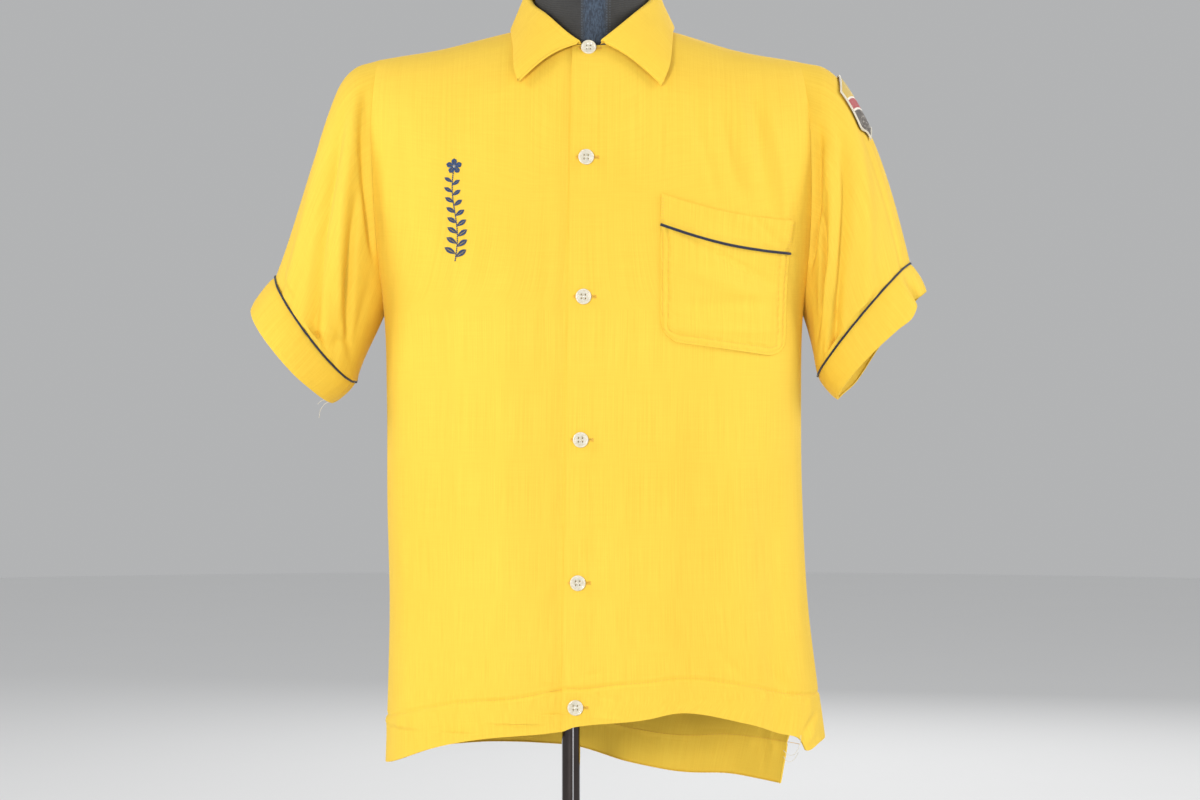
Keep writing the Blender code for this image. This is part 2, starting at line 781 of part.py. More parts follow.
def cloth(name, shader, columns, rows, place, wall, joined=False):
    """A sheet of cloth: a grid placed by place(column, row), then given its wall on the inner side.

    With joined, the last column meets the first, as on a sleeve.
    """
    grid = bmesh.new()
    bmesh.ops.create_grid(grid, x_segments=columns, y_segments=rows, size=0.5)
    for vertex in grid.verts:
        column = round((vertex.co.x + 0.5) * columns)
        row = round((vertex.co.y + 0.5) * rows)
        vertex.co = place(column, row) * MM
    if joined:
        bmesh.ops.remove_doubles(grid, verts=grid.verts, dist=1e-6)
    obj = new_object(name, shader, mesh_from(grid, name))
    thicken = obj.modifiers.new("Wall", "SOLIDIFY")
    thicken.thickness = wall * MM
    thicken.offset = -1.0
    return obj


def flip(obj):
    """Turn an object's faces over, so that its wall goes to the other side."""
    obj.data.flip_normals()


def tube(name, shader, points, diameter, closed=False):
    """A round strip through the points."""
    data = bpy.data.curves.new(name, "CURVE")
    data.dimensions = "3D"
    data.bevel_depth = diameter * MM / 2
    data.bevel_resolution = 1
    data.use_fill_caps = not closed
    spline = data.splines.new("POLY")
    spline.points.add(len(points) - 1)
    for target, point in zip(spline.points, points):
        target.co = (*(point * MM), 1.0)
    spline.use_cyclic_u = closed
    obj = bpy.data.objects.new(name, data)
    obj.data.materials.append(shader)
    bpy.data.collections["bowling_shirt_on_dress_form"].objects.link(obj)
    return obj


def turned(name, shader, profile, sides):
    """A shape turned about the Z axis, from a profile that runs down its outer side."""
    mesh = bpy.data.meshes.new(name)
    mesh.from_pydata([(x * MM, 0.0, z * MM) for x, z in profile],
                     [(i, i + 1) for i in range(len(profile) - 1)], [])
    obj = bpy.data.objects.new(name, mesh)
    obj.data.materials.append(shader)
    bpy.data.collections["bowling_shirt_on_dress_form"].objects.link(obj)
    screw = obj.modifiers.new("Turn", "SCREW")
    screw.steps = screw.render_steps = sides
    screw.use_merge_vertices = True
    screw.merge_threshold = 0.0001
    return obj


# ---------------------------------------------------------------------- the pieces


def build_fronts():
    """Both fronts; the wearer's left one lies over the right one down the middle."""
    rows = rows_up()
    for side, edge in ((RIGHT, underlap_edge), (LEFT, placket_edge)):
        def place(column, row, side=side, edge=edge):
            return body_piece(side, "front", column / FRONT_COLUMNS, rows[row], edge)

        front = cloth(f"front_{SIDE_NAMES[side]}", yellow_cloth(), FRONT_COLUMNS, len(rows) - 1, place, CLOTH)
        if side == RIGHT:
            flip(front)


def build_back():
    """The back, one panel from armhole to armhole."""
    rows = rows_up()

    def place(column, row):
        offset = column - BACK_COLUMNS_A_SIDE
        side = LEFT if offset > 0 else RIGHT
        return body_piece(side, "back", abs(offset) / BACK_COLUMNS_A_SIDE, rows[row])

    flip(cloth("back", yellow_cloth(), 2 * BACK_COLUMNS_A_SIDE, len(rows) - 1, place, CLOTH))


def build_sleeve(side):
    """A sleeve, its piping and its cuff."""
    sleeve = Sleeve(side)
    columns = len(sleeve.start)
    name = SIDE_NAMES[side]

    def around(column):
        return sleeve.shares[column % columns]

    def sleeve_place(column, row):
        return sleeve.point(around(column), row / SLEEVE_ROWS)

    def cuff_place(column, row):
        return cuff_point(side, around(column), row / CUFF_ROWS, CUFF_DOWN)

    flip_needed = side == LEFT
    pieces = [
        cloth(f"sleeve_{name}", yellow_cloth(), columns, SLEEVE_ROWS, sleeve_place, CLOTH, True),
        cloth(f"cuff_{name}", yellow_cloth(), columns, CUFF_ROWS, cuff_place, TRIM_CLOTH, True),
    ]
    if flip_needed:
        for piece in pieces:
            flip(piece)
    ring = [cuff_point(side, share, 0.0, PIPING_DOWN, PIPING_LIFT) for share in sleeve.shares]
    tube(f"piping_{name}", navy_piping(), ring, PIPING_DIAMETER, closed=True)
    return sleeve


def collar_profile(row):
    """The collar's section: up the stand, over the roll and down the fall to the edge."""
    up = (row.roll - row.stand).normalized()
    rise = (row.roll - row.stand).length
    radius = min(COLLAR_ROLL_RADIUS, rise * 0.45)
    level_way = row.edge - row.roll
    outwards = (level_way - up * level_way.dot(up)).normalized()
    turn = row.roll - up * radius
    middle = turn + outwards * radius
    points = [blend(row.stand, turn, i / COLLAR_STAND_STEPS) for i in range(COLLAR_STAND_STEPS)]
    for i in range(COLLAR_ROLL_STEPS + 1):
        angle = math.radians(150) * i / COLLAR_ROLL_STEPS
        points.append(middle - outwards * (radius * math.cos(angle)) + up * (radius * math.sin(angle)))
    start = points[-1]
    for i in range(1, COLLAR_FALL_STEPS + 1):
        share = i / COLLAR_FALL_STEPS
        lift = Vector((0.0, 0.0, row.bow * math.sin(math.pi * share)))
        points.append(blend(start, row.edge, share) + lift)
    return points


def build_collar():
    """The collar, one folded strip round the neck from one front end to the other."""
    neck = Vector((NECK_CENTRE_X, 0.0, 0.0))
    profiles = []
    for column in range(COLLAR_COLUMNS + 1):
        around = -1 + 2 * column / COLLAR_COLUMNS
        stand, roll, edge, bow = (
            smooth_at(COLLAR_ROWS, "around", key, around) for key in ("stand", "roll", "edge", "bow")
        )
        profiles.append(collar_profile(CollarRow(around, stand + neck, roll + neck, edge + neck, bow)))
    rows = len(profiles[0]) - 1
    flip(cloth("collar", yellow_cloth(), COLLAR_COLUMNS, rows, lambda c, r: profiles[c][r], TRIM_CLOTH))


def corner_rounding(share, width):
    """How far a pocket's lower edge rises near its corners."""
    from_corner = min(share, 1 - share) * width
    if from_corner >= POCKET_CORNER_ROUND:
        return 0.0
    return POCKET_CORNER_ROUND - math.sqrt(POCKET_CORNER_ROUND**2 - (POCKET_CORNER_ROUND - from_corner) ** 2)


def pocket_point(corners, across, up, swell=0.0, lift=0.0, rounded=False):
    """A point on the pocket by share across and share up, set off the left front."""
    top = [blend(corners.top_inner[i], corners.top_outer[i], across) for i in (0, 1)]
    bottom = [blend(corners.bottom_inner[i], corners.bottom_outer[i], across) for i in (0, 1)]
    sag = POCKET_MOUTH_SAG * math.sin(math.pi * across)
    top_z = top[1] - sag
    width = corners.top_outer[0] - corners.top_inner[0]
    bottom_z = bottom[1] + (corner_rounding(across, width) if rounded else -sag)
    x, z = blend(bottom[0], top[0], up), blend(bottom_z, top_z, up)
    bulge = swell * math.sin(math.pi * across) * math.sin(math.pi * (0.15 + 0.85 * up)) ** 0.5
    return front_at(x, z, POCKET_LIFT + CLOTH + bulge + lift)


def even_to_corner(column, columns):
    """Shares across that crowd towards both corners."""
    share = column / columns
    return share - 0.06 * math.sin(math.tau * share)


def build_pocket():
    """The breast pocket, its band and the piping between them."""
    def pocket_place(column, row):
        across = even_to_corner(column, POCKET_COLUMNS)
        return pocket_point(POCKET, across, row / POCKET_ROWS, POCKET_BULGE, 0.0, True)

    def band_place(column, row):
        across = even_to_corner(column, POCKET_COLUMNS)
        return pocket_point(POCKET_BAND, across, row / POCKET_BAND_ROWS, 0.0, BAND_LIFT)

    cloth("pocket", yellow_cloth(), POCKET_COLUMNS, POCKET_ROWS, pocket_place, CLOTH)
    cloth("pocket_band", yellow_cloth(), POCKET_COLUMNS, POCKET_BAND_ROWS, band_place, CLOTH)
    mouth = [
        pocket_point(POCKET_BAND, even_to_corner(i, POCKET_COLUMNS), MOUTH_PIPING_UP, 0.0, MOUTH_PIPING_LIFT)
        for i in range(POCKET_COLUMNS + 1)
    ]
    tube("pocket_piping", navy_piping(), mouth, PIPING_DIAMETER)


def button_blank():
    """A button's solid: a dished disc lying in the XY plane with its back at zero."""
    radius, top = BUTTON_DIAMETER / 2, BUTTON_THICKNESS
    inner = radius - BUTTON_RIM
    disc = bmesh.new()
    bmesh.ops.create_cone(disc, cap_ends=True, segments=BUTTON_SIDES, radius1=radius * 0.86 * MM,
                          radius2=radius * MM, depth=top * 0.45 * MM)
    bmesh.ops.translate(disc, verts=disc.verts, vec=(0.0, 0.0, top * 0.225 * MM))
    face = max(disc.faces, key=lambda f: f.calc_center_median().z)
    steps = ((radius * 0.98, top * 0.85), (radius - BUTTON_RIM * 0.5, top), (inner, top - BUTTON_DISH))
    for size, height in steps:
        bmesh.ops.inset_region(disc, faces=[face], thickness=INSET_START, use_even_offset=False)
        for vertex in face.verts:
            flat = Vector((vertex.co.x, vertex.co.y, 0.0)).normalized() * size * MM
            vertex.co = (flat.x, flat.y, height * MM)
    return mesh_from(disc, "button_blank")


def build_buttons():
    """Six buttons down the front, each with four holes through it."""
    cutter_shape = bmesh.new()
    for x in (-1, 1):
        for y in (-1, 1):
            made = bmesh.ops.create_cone(cutter_shape, cap_ends=True, segments=6, radius1=BUTTON_HOLE / 2 * MM,
                                         radius2=BUTTON_HOLE / 2 * MM, depth=4 * BUTTON_THICKNESS * MM)
            spot = Vector((x, y, 0.0)) * (BUTTON_HOLE_SPACING / 2 * MM)
            bmesh.ops.translate(cutter_shape, verts=made["verts"], vec=spot)
    cutter_mesh = mesh_from(cutter_shape, "button_holes")
    blank = button_blank()
    for number, height in enumerate(BUTTON_HEIGHTS, start=1):
        x = button_line(height)
        low, high = front_at(x, height - 5, 0.0), front_at(x, height + 5, 0.0)
        seat = front_at(x, height, BUTTON_LIFT)
        up = (high - low).normalized()
        outwards = up.cross(Vector((1.0, 0.0, 0.0))).normalized()
        outwards = outwards if outwards.y < 0 else -outwards
        turn = outwards.to_track_quat("Z", "Y")
        cutter = bpy.data.objects.new(f"button_holes_{number}", cutter_mesh)
        bpy.data.collections["cutters"].objects.link(cutter)
        cutter.hide_render = True
        cutter.display_type = "WIRE"
        button = new_object(f"button_{number}", cream_button(), blank.copy())
        for obj in (button, cutter):
            obj.location = seat * MM
            obj.rotation_mode = "QUATERNION"
            obj.rotation_quaternion = turn
        holes = button.modifiers.new("Holes", "BOOLEAN")
        holes.operation = "DIFFERENCE"
        holes.object = cutter


def build_patch(sleeve):
    """The sewn patch on the wearer's left sleeve, square at the top and pointed below."""
    def place(column, row):
        across, down = column / PATCH_COLUMNS, row / PATCH_ROWS
        narrow = 1 - 0.55 * ease((down - 0.55) / 0.45)
        around = blend(*PATCH_ROUND, 0.5 + (across - 0.5) * narrow) - PATCH_LEAN * (down - 0.5)
        along = blend(*PATCH_ALONG, down)
        return sleeve.point(around, along, PATCH_LIFT + CLOTH)

    flip(cloth("sleeve_patch", patch_twill(), PATCH_COLUMNS, PATCH_ROWS, place, CLOTH))


def form_point(face, column, row):
    """A point of the dress form, from its lower edge to the ridge of its shoulders."""
    bearing = math.pi * (column / FORM_COLUMNS - 0.5)
    across, out = math.sin(bearing), math.cos(bearing)
    size = (abs(across) ** SQUARENESS + abs(out) ** SQUARENESS) ** (-1 / SQUARENESS)
    top_width = FORM_SECTIONS[-1].half_width
    lean = math.pi / 2 * max(0, row - FORM_ROWS) / CAP_ROWS
    distance = abs(top_width * across * size)
    near_neck = 1 - ease((distance - NECK_HALF_WIDTH) / FORM_NECK_REACH)
    clearance = FORM_CLEARANCE + FORM_NECK_CLEARANCE * near_neck
    ridge = smooth_at(SHOULDERS, "across", "front_ridge", max(distance, NECK_HALF_WIDTH))
    ridge -= CLOTH + clearance
    rounding = smooth_at(SHOULDERS, "across", face + "_rounding", distance)
    if row <= FORM_ROWS:
        z = blend(FORM_BOTTOM, ridge - rounding, row / FORM_ROWS)
    else:
        z = ridge - rounding * (1 - math.sin(lean))
    section = {
        key: smooth_at(FORM_SECTIONS, "height", key, z) for key in ("lean", "half_width", face)
    }
    x = section["lean"] + section["half_width"] * across * size
    y = section[face] * out * size * math.cos(lean)
    return Vector((x, -y if face == "front" else y, z))


def build_form():
    """The dress form: a closed torso of two grids, joined to its neck."""
    torso = bmesh.new()
    rows = FORM_ROWS + CAP_ROWS
    for face in ("front", "back"):
        made = bmesh.ops.create_grid(torso, x_segments=FORM_COLUMNS, y_segments=rows, size=0.5)
        for vertex in made["verts"]:
            column = round((vertex.co.x + 0.5) * FORM_COLUMNS)
            row = round((vertex.co.y + 0.5) * rows)
            vertex.co = form_point(face, column, row) * MM
    bmesh.ops.remove_doubles(torso, verts=torso.verts, dist=1e-6)
    rim = [edge for edge in torso.edges if edge.is_boundary]
    bmesh.ops.contextual_create(torso, geom=rim)
    bmesh.ops.recalc_face_normals(torso, faces=torso.faces)
    body = new_object("form_torso", black_cover(), mesh_from(torso, "form_torso"))

    neck = bmesh.new()
    bmesh.ops.create_cone(neck, cap_ends=True, segments=32, radius1=1.0, radius2=1.0, depth=1.0)
    bmesh.ops.scale(neck, verts=neck.verts,
                    vec=(FORM_NECK_HALF_WIDTH * MM, FORM_NECK_HALF_DEPTH * MM,
                         (FORM_NECK_TOP - FORM_NECK_FOOT) * MM))
    bmesh.ops.translate(neck, verts=neck.verts,
                        vec=(NECK_CENTRE_X * MM, FORM_NECK_Y * MM, (FORM_NECK_TOP + FORM_NECK_FOOT) / 2 * MM))
    top_edges = [e for e in neck.edges if all(v.co.z > (FORM_NECK_TOP - 1) * MM for v in e.verts)]
    bmesh.ops.bevel(neck, geom=top_edges, offset=FORM_TOP_ROUNDING * MM, segments=2, profile=0.5,
                    affect="EDGES", material=-1)
    cutter = bpy.data.objects.new("form_neck", mesh_from(neck, "form_neck"))
    bpy.data.collections["cutters"].objects.link(cutter)
    cutter.hide_render = True
    cutter.display_type = "WIRE"
    join = body.modifiers.new("Neck", "BOOLEAN")
    join.operation = "UNION"
    join.object = cutter


def build_stand():
    """The chrome pole and the round base."""
    top = FORM_BOTTOM - SEAM_GAP
    bottom = BASE_SOCKET_HEIGHT + SEAM_GAP
    rod = bmesh.new()
    bmesh.ops.create_cone(rod, cap_ends=True, segments=24, radius1=POLE_DIAMETER / 2 * MM,
                          radius2=POLE_DIAMETER / 2 * MM, depth=(top - bottom) * MM)
    bmesh.ops.translate(rod, verts=rod.verts, vec=(0.0, 0.0, (top + bottom) / 2 * MM))
    pole = new_object("pole", chrome(), mesh_from(rod, "pole"))
    pole.data.set_sharp_from_angle(angle=math.radians(40))
    radius, socket = BASE_DIAMETER / 2, BASE_SOCKET_DIAMETER / 2
    profile = (
        (0.0, BASE_SOCKET_HEIGHT),
        (socket - 2, BASE_SOCKET_HEIGHT),
        (socket, BASE_SOCKET_HEIGHT - 2),
        (socket, BASE_CROWN + 6),
        (socket + 6, BASE_CROWN),
        (radius * 0.6, BASE_CROWN - 3),
        (radius - 10, BASE_EDGE + 1),
        (radius - 1.5, BASE_EDGE - 1.5),
        (radius, BASE_EDGE - 3),
        (radius, 1.0),
        (radius - 1, 0.0),
        (0.0, 0.0),
    )
    turned("base", chrome(), profile, BASE_SIDES)


clear_scene()
build_fronts()
build_back()
build_sleeve(RIGHT)
build_patch(build_sleeve(LEFT))
build_collar()
build_pocket()
build_buttons()
build_form()
build_stand()
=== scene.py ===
"""Looks of a short-sleeved bowling shirt, buttoned on a limbless dress form.

Every length in the tables is in millimetres, in the frame of the solids: X grows towards the wearer's
left, Y towards the wearer's back and Z upwards, from under the middle of the stand's base. The shirt's
pieces are thin shells on the forms of their solids, with their creases, seams and stitching added.
"""

import bisect
import logging
from dataclasses import dataclass
from enum import Enum
from math import asin, atan2, copysign, cos, exp, hypot, pi, radians, sin, sqrt, tau
from typing import Any, Callable, Mapping, Sequence

import bmesh
import bpy
from mathutils import Matrix, Vector


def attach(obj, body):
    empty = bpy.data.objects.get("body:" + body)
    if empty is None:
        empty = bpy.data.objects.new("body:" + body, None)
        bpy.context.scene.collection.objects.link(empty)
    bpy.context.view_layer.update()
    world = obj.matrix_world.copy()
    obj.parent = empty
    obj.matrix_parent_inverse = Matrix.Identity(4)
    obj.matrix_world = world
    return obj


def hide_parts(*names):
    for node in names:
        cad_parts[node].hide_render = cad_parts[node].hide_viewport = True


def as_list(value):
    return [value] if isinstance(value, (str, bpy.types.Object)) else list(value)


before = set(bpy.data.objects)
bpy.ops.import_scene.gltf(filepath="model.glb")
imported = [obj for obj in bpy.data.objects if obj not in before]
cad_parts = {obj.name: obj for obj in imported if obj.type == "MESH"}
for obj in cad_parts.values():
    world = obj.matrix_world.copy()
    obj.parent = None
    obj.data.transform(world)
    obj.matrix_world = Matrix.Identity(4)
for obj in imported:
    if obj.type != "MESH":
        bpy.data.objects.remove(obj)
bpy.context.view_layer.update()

LOG = logging.getLogger("shirt")
MM = 0.001
BODY = "root"
UP = Vector((0, 0, 1))

Place = Callable[[int, int], Vector]
Line = Callable[[float], Vector]
Edge = Callable[[float], float]
Triple = tuple[float, float, float]
BMesh = bmesh.types.BMesh
Loop = list[bmesh.types.BMEdge]
Material = bpy.types.Material
Object = bpy.types.Object


class Side(Enum):
    """The wearer's sides, as the sign of X."""

    RIGHT = -1
    LEFT = 1

    @property
    def word(self) -> str:
        """The side's name, as the solids use it."""
        return self.name.lower()


class Face(Enum):
    """The two faces of the body."""

    FRONT, BACK = range(2)


class Zone(Enum):
    """Stretches of a body panel, from hem to shoulder."""

    VENT, HANG, ARM, CAP = range(4)


R, L = Side.RIGHT, Side.LEFT
F, B = Face.FRONT, Face.BACK

# ---- small maths


def blend(first: Any, last: Any, share: float) -> Any:
    """The value, a number or a vector, a share of the way from the first to the last."""
    return first + (last - first) * share


def ease(value: float) -> float:
    """0 below 0, 1 above 1, and a soft step between."""
    value = min(max(value, 0.0), 1.0)
    return value * value * (3 - 2 * value)


def bump(value: float, middle: float, half_width: float) -> float:
    """A soft hump of height 1 round a middle."""
    off = (value - middle) / half_width
    return exp(-off * off) if abs(off) < 4 else 0.0


def tucked(line: int, last: int) -> tuple[int, bool]:
    """Which line of the cloth a grid line is on, and whether it is one that is turned in."""
    inner = min(max(line - 1, 0), last)
    return inner, inner != line - 1


class Curve:
    """A smooth curve through a table of numbers or vectors."""

    def __init__(self, table: Mapping[float, Any]) -> None:
        """Find the slope at each place of the table."""
        self.places, self.values = list(table), list(table.values())
        last = len(self.places) - 1
        around = [(max(i - 1, 0), min(i + 1, last)) for i in range(last + 1)]
        self.slopes = [
            (self.values[after] - self.values[before]) / (self.places[after] - self.places[before])
            for before, after in around
        ]

    @classmethod
    def columns(cls, table: Mapping[float, Sequence[Any]]) -> list["Curve"]:
        """A curve for each column of a table."""
        return [cls(dict(zip(table, column))) for column in zip(*table.values())]

    def at(self, place: float) -> Any:
        """The value at a place along the table.

        Args:
            place: where along the table.

        Returns:
            The value there, a number or a vector as in the table.
        """
        if place <= self.places[0]:
            return self.values[0]
        if place >= self.places[-1]:
            return self.values[-1]
        i = bisect.bisect_right(self.places, place) - 1
        step = self.places[i + 1] - self.places[i]
        t = (place - self.places[i]) / step
        square, cube = t * t, t * t * t
        return (
            self.values[i] * (2 * cube - 3 * square + 1)
            + self.slopes[i] * (step * (cube - 2 * square + t))
            + self.values[i + 1] * (3 * square - 2 * cube)
            + self.slopes[i + 1] * (step * (cube - square))
        )


# ---- sizes and tables

CLOTH, TRIM_CLOTH = 0.75, 1.3
SEAM_GAP, SEAM_EASE = 0.3, 0.1
SEAM_TURN, SEAM_TUCK = 2.0, 0.5

CENTRE_X = 22.0
SQUARENESS = 2.4
VENT_TOP = 412.0
UNDERARM = 786.0
ARMHOLE_DEPTH_SHARE = 0.5
NECK_HALF_WIDTH = 61.5
NECK_CENTRE_X = 21.0

# By height: half widths to the wearer's right and left, and depths in front and behind.
SECTIONS = {
    340: (206, 234, 117, 112), 412: (203.5, 224.5, 119, 111), 500: (201.5, 214, 121, 110),
    600: (204, 208.5, 122, 110), 700: (204.5, 207.5, 123, 112), 786: (208, 209.5, 124, 114),
    840: (219, 219, 124, 116), 900: (226, 224, 123, 117), 1040: (231.5, 223, 122, 114),
}
# By distance from the centre line: heights of the shoulder ridge in front and behind, then how tall
# its rounding is in front and behind.
SHOULDERS = {
    0: (1084, 1098, 178, 165), 30: (1082, 1091, 176, 160), 62: (1071, 1071, 165, 150),
    85: (1066, 1066, 155, 140), 107: (1060.5, 1060.5, 145, 130), 155: (1048.5, 1048.5, 122, 112),
    193: (1041.5, 1041.5, 105, 100), 215: (1038, 1038, 98, 95),
}
LEFT_SHOULDER_DROP = 3.0
ARMHOLE_FILL = {F: 9.0, B: 5.0}
# By distance from the centre line: heights of the neck edge in front and behind.
NECKLINES = {
    0: (1044, 1068.5), 20: (1046, 1068.3), 38: (1053, 1068), 52: (1062.5, 1069.3), 61.5: (1071.2, 1071.2),
}
# Height of each hem, and of its band above it, by X.
HEMS = {
    F: {
        -186: 340, -134: 363, -86: 374.5, -9: 383, 6: 388, 72: 394.5, 115: 400,
        172: 388, 205: 376.5, 224: 370, 230: 358, 246: 364, 255: 366,
    },
    B: {-186: 343, -90: 345, 0: 340, 55: 323.5, 118: 313.5, 160: 313, 219: 307},
}
HEM_BAND_HEIGHTS = {
    F: Curve({
        -186: 46, -134: 40, -60: 36, -9: 40, 10: 35.5, 50: 36.5, 111: 33.5,
        172: 36.5, 205: 39.5, 224: 42.5, 230: 53.5, 246: 46, 255: 43,
    }),
    B: Curve({-190: 34, 60: 36, 220: 44}),
}


@dataclass(frozen=True)
class Vent:
    """How far each panel's edge draws away from the side seam's line below the seam."""

    front_turn: float
    back_turn: float
    opening: float
    back_tuck: float


VENTS = {R: Vent(3.0, 9.0, 1.2, 5.0), L: Vent(6.0, 33.0, 0.25, 16.0)}


@dataclass(frozen=True)
class Fold:
    """A soft fold down a panel: a trough where depth is below zero, a ridge above it."""

    x_top: float
    x_bottom: float
    top: float
    bottom: float
    half_width: float
    depth: float

    LEVEL_END = 430.0

    def at(self, x: float, height: float) -> float:
        """Outward move of the cloth at a place."""
        down = (self.top - height) / (self.top - self.bottom)
        if not 0 < down < 1:
            return 0.0
        off = (x - blend(self.x_top, self.x_bottom, down)) / self.half_width
        if abs(off) > 3:
            return 0.0
        fade = ease(down / 0.35) * (ease((1 - down) / 0.2) if self.bottom > self.LEVEL_END else 1.0)
        return self.depth * fade * exp(-off * off)


FOLDS = {
    F: [Fold(*row) for row in (
        (-160, -150, 1010, 800, 9, -2.6), (-128, -122, 1000, 780, 16, 2), (-168, -166, 880, 380, 16, 2.2),
        (-116, -110, 900, 380, 17, -3), (-56, -52, 960, 390, 20, 2.6), (-8, -14, 940, 400, 14, -2),
        (60, 52, 830, 390, 19, 3.8), (108, 98, 740, 380, 19, -5.2), (152, 158, 720, 370, 20, 4.4),
        (196, 202, 680, 360, 14, -4.4), (136, 170, 1010, 880, 10, -2.2),
    )],
    B: [Fold(*row) for row in (
        (-150, -140, 990, 420, 16, -4), (-96, -84, 960, 340, 20, 4), (-36, -30, 900, 340, 18, -3.6),
        (34, 40, 920, 320, 20, 4.2), (92, 104, 960, 300, 18, -4.6), (150, 166, 900, 300, 18, 3.6),
        (190, 186, 980, 500, 12, -3.4),
    )],
}


@dataclass(frozen=True)
class Crease:
    """A short soft crease along a line on a panel, tapered at both ends and a little bowed."""

    x_start: float
    z_start: float
    x_end: float
    z_end: float
    half_width: float
    depth: float
    bow: float

    def at(self, x: float, z: float) -> float:
        """Outward move of the cloth at a place.

        Args:
            x: X in millimetres.
            z: height in millimetres.

        Returns:
            The move in millimetres.
        """
        run_x, run_z = self.x_end - self.x_start, self.z_end - self.z_start
        length = hypot(run_x, run_z)
        along = ((x - self.x_start) * run_x + (z - self.z_start) * run_z) / length**2
        if not 0 < along < 1:
            return 0.0
        off = ((x - self.x_start) * run_z - (z - self.z_start) * run_x) / length
        off = (off - self.bow * sin(pi * along)) / self.half_width
        if abs(off) > 3:
            return 0.0
        return self.depth * sin(pi * along) ** 0.8 * exp(-off * off)


CREASES = {
    F: [Crease(*row) for row in (
        # beside the right armhole, from the shoulder down
        (-196, 1008, -186, 800, 5, -1.7, 4), (-178, 1015, -172, 850, 7, 1.5, 3),
        (-146, 1022, -140, 880, 6, -1.1, -3), (-206, 900, -196, 770, 5, 1.2, 2),
        # long faint lines down the right front
        (-112, 960, -106, 520, 5, -0.55, 3), (-64, 800, -70, 400, 7, 0.8, -4),
        (-140, 700, -128, 400, 8, -0.9, 3), (-165, 640, -160, 380, 9, 1.1, -3),
        (-22, 980, -30, 640, 6, -0.9, -2),
        # from the neck and shoulder on the left front
        (108, 1012, 144, 880, 6, -2.4, -3), (176, 1010, 190, 790, 6, -1.6, -4),
        (158, 1018, 174, 900, 7, 1.9, -2), (200, 930, 206, 790, 5, 1.3, -2),
        (62, 1010, 78, 900, 8, -1.5, 2), (148, 986, 166, 900, 5, -2.4, 1),
        (172, 1006, 198, 870, 8, -4.2, -3), (186, 1000, 210, 840, 5, 2.2, -3),
        (92, 1016, 90, 896, 2.6, -1.2, 0), (97, 1016, 95, 896, 2.6, 0.8, 0),
        (-170, 1010, -184, 850, 7, -2.4, 3),
        # pulls beside the lowest button
        (10, 428, 44, 414, 2.2, -0.9, 1), (8, 434, 34, 440, 2.2, -0.8, -1),
        (-2, 422, -30, 428, 2.6, -0.8, 1), (20, 398, 50, 396, 2.4, 0.7, 1),
        # below the pocket and down to the hem band
        (84, 738, 76, 560, 6, -0.9, 2), (122, 730, 118, 520, 9, 0.9, -3),
        (176, 720, 184, 520, 7, -1.1, -3), (216, 700, 224, 430, 6, 1.1, -4),
        (28, 720, 22, 420, 6, -0.8, 2), (136, 470, 176, 424, 4, -0.9, 3),
        (184, 466, 226, 404, 4, -1, 3), (150, 520, 128, 440, 7, 1, 3),
        (222, 368, 243, 396, 3.4, -2.2, 1), (228, 362, 240, 378, 3.4, 1.6, 0),
        # hollows pulled in at the buttons
        (14, 905, 44, 838, 6, -0.6, 3), (12, 640, -26, 560, 7, -0.6, 3),
    )],
    B: [Crease(*row) for row in (
        # slack under the collar, creases off the armholes, drag lines to the hem
        (-70, 1010, 74, 1014, 9, -1.7, -12), (-54, 984, 60, 990, 8, 1.1, -13),
        (-200, 990, -176, 800, 7, -2, 6), (-184, 1000, -158, 840, 8, 1.4, 5),
        (198, 990, 176, 800, 7, -2, -6), (180, 1002, 160, 830, 8, 1.4, -5),
        (-120, 900, -112, 560, 7, -1.1, 4), (-62, 860, -58, 420, 8, 1.2, -4),
        (6, 900, 2, 500, 7, -1, 3), (66, 880, 72, 460, 8, 1.2, 4),
        (126, 860, 132, 400, 8, -1.3, 4), (-176, 700, -168, 400, 9, 1.3, -4),
        (204, 720, 196, 440, 7, 1.2, 3), (196, 384, 199, 312, 2.6, 1.5, 1),
        (203, 390, 206, 330, 2.4, -1.7, -1), (120, 372, 152, 322, 6, -1.3, 3),
        (60, 366, 86, 330, 6, 1.2, -3),
    )],
}

# By share of the way round: how the cloth leaves the armhole and how it meets the cuff. Round starts at
# the underarm and goes up the front, over the shoulder and down the back; a pull is (outwards, towards
# the back, up).
SLEEVE_PULLS = {
    0: ((8, 0, -22), (-4, 0, 20)), 0.12: ((13, -12, -20), (-12, -4, 30)),
    0.25: ((26, -24, -20), (-20, -14, 48)), 0.38: ((0, -20, -16), (0, -12, 80)),
    0.5: ((0, 0, -14), (0, 0, 106)), 0.62: ((0, 18, -16), (0, 12, 80)),
    0.75: ((24, 22, -20), (-20, 14, 48)), 0.88: ((13, 12, -20), (-12, 4, 30)),
    1: ((8, 0, -22), (-4, 0, 20)),
}
# Outward parts of the pulls at the top of each sleeve, and the share that the rows beside it take.
SLEEVE_TOPS = {R: (52.0, -39.0), L: (62.0, -25.0)}
TOP_SHARES = {0.38: 0.8, 0.5: 1.0, 0.62: 0.8}


class Ring:
    """An oblique oval across a sleeve: its centre and the way to its top, front and back."""

    def __init__(self, centre: Triple, to_top: Triple, to_front: Triple, to_back: Triple) -> None:
        """Keep the oval."""
        self.centre, self.to_top = Vector(centre), Vector(to_top)
        self.to_front, self.to_back = Vector(to_front), Vector(to_back)

    def at(self, share: float) -> Vector:
        """A point of the oval: 0 is its lowest, inner end and a half its top."""
        angle = share * tau
        sideways = sin(angle)
        to_side = self.to_front if sideways > 0 else self.to_back
        return self.centre - self.to_top * cos(angle) + to_side * abs(sideways)


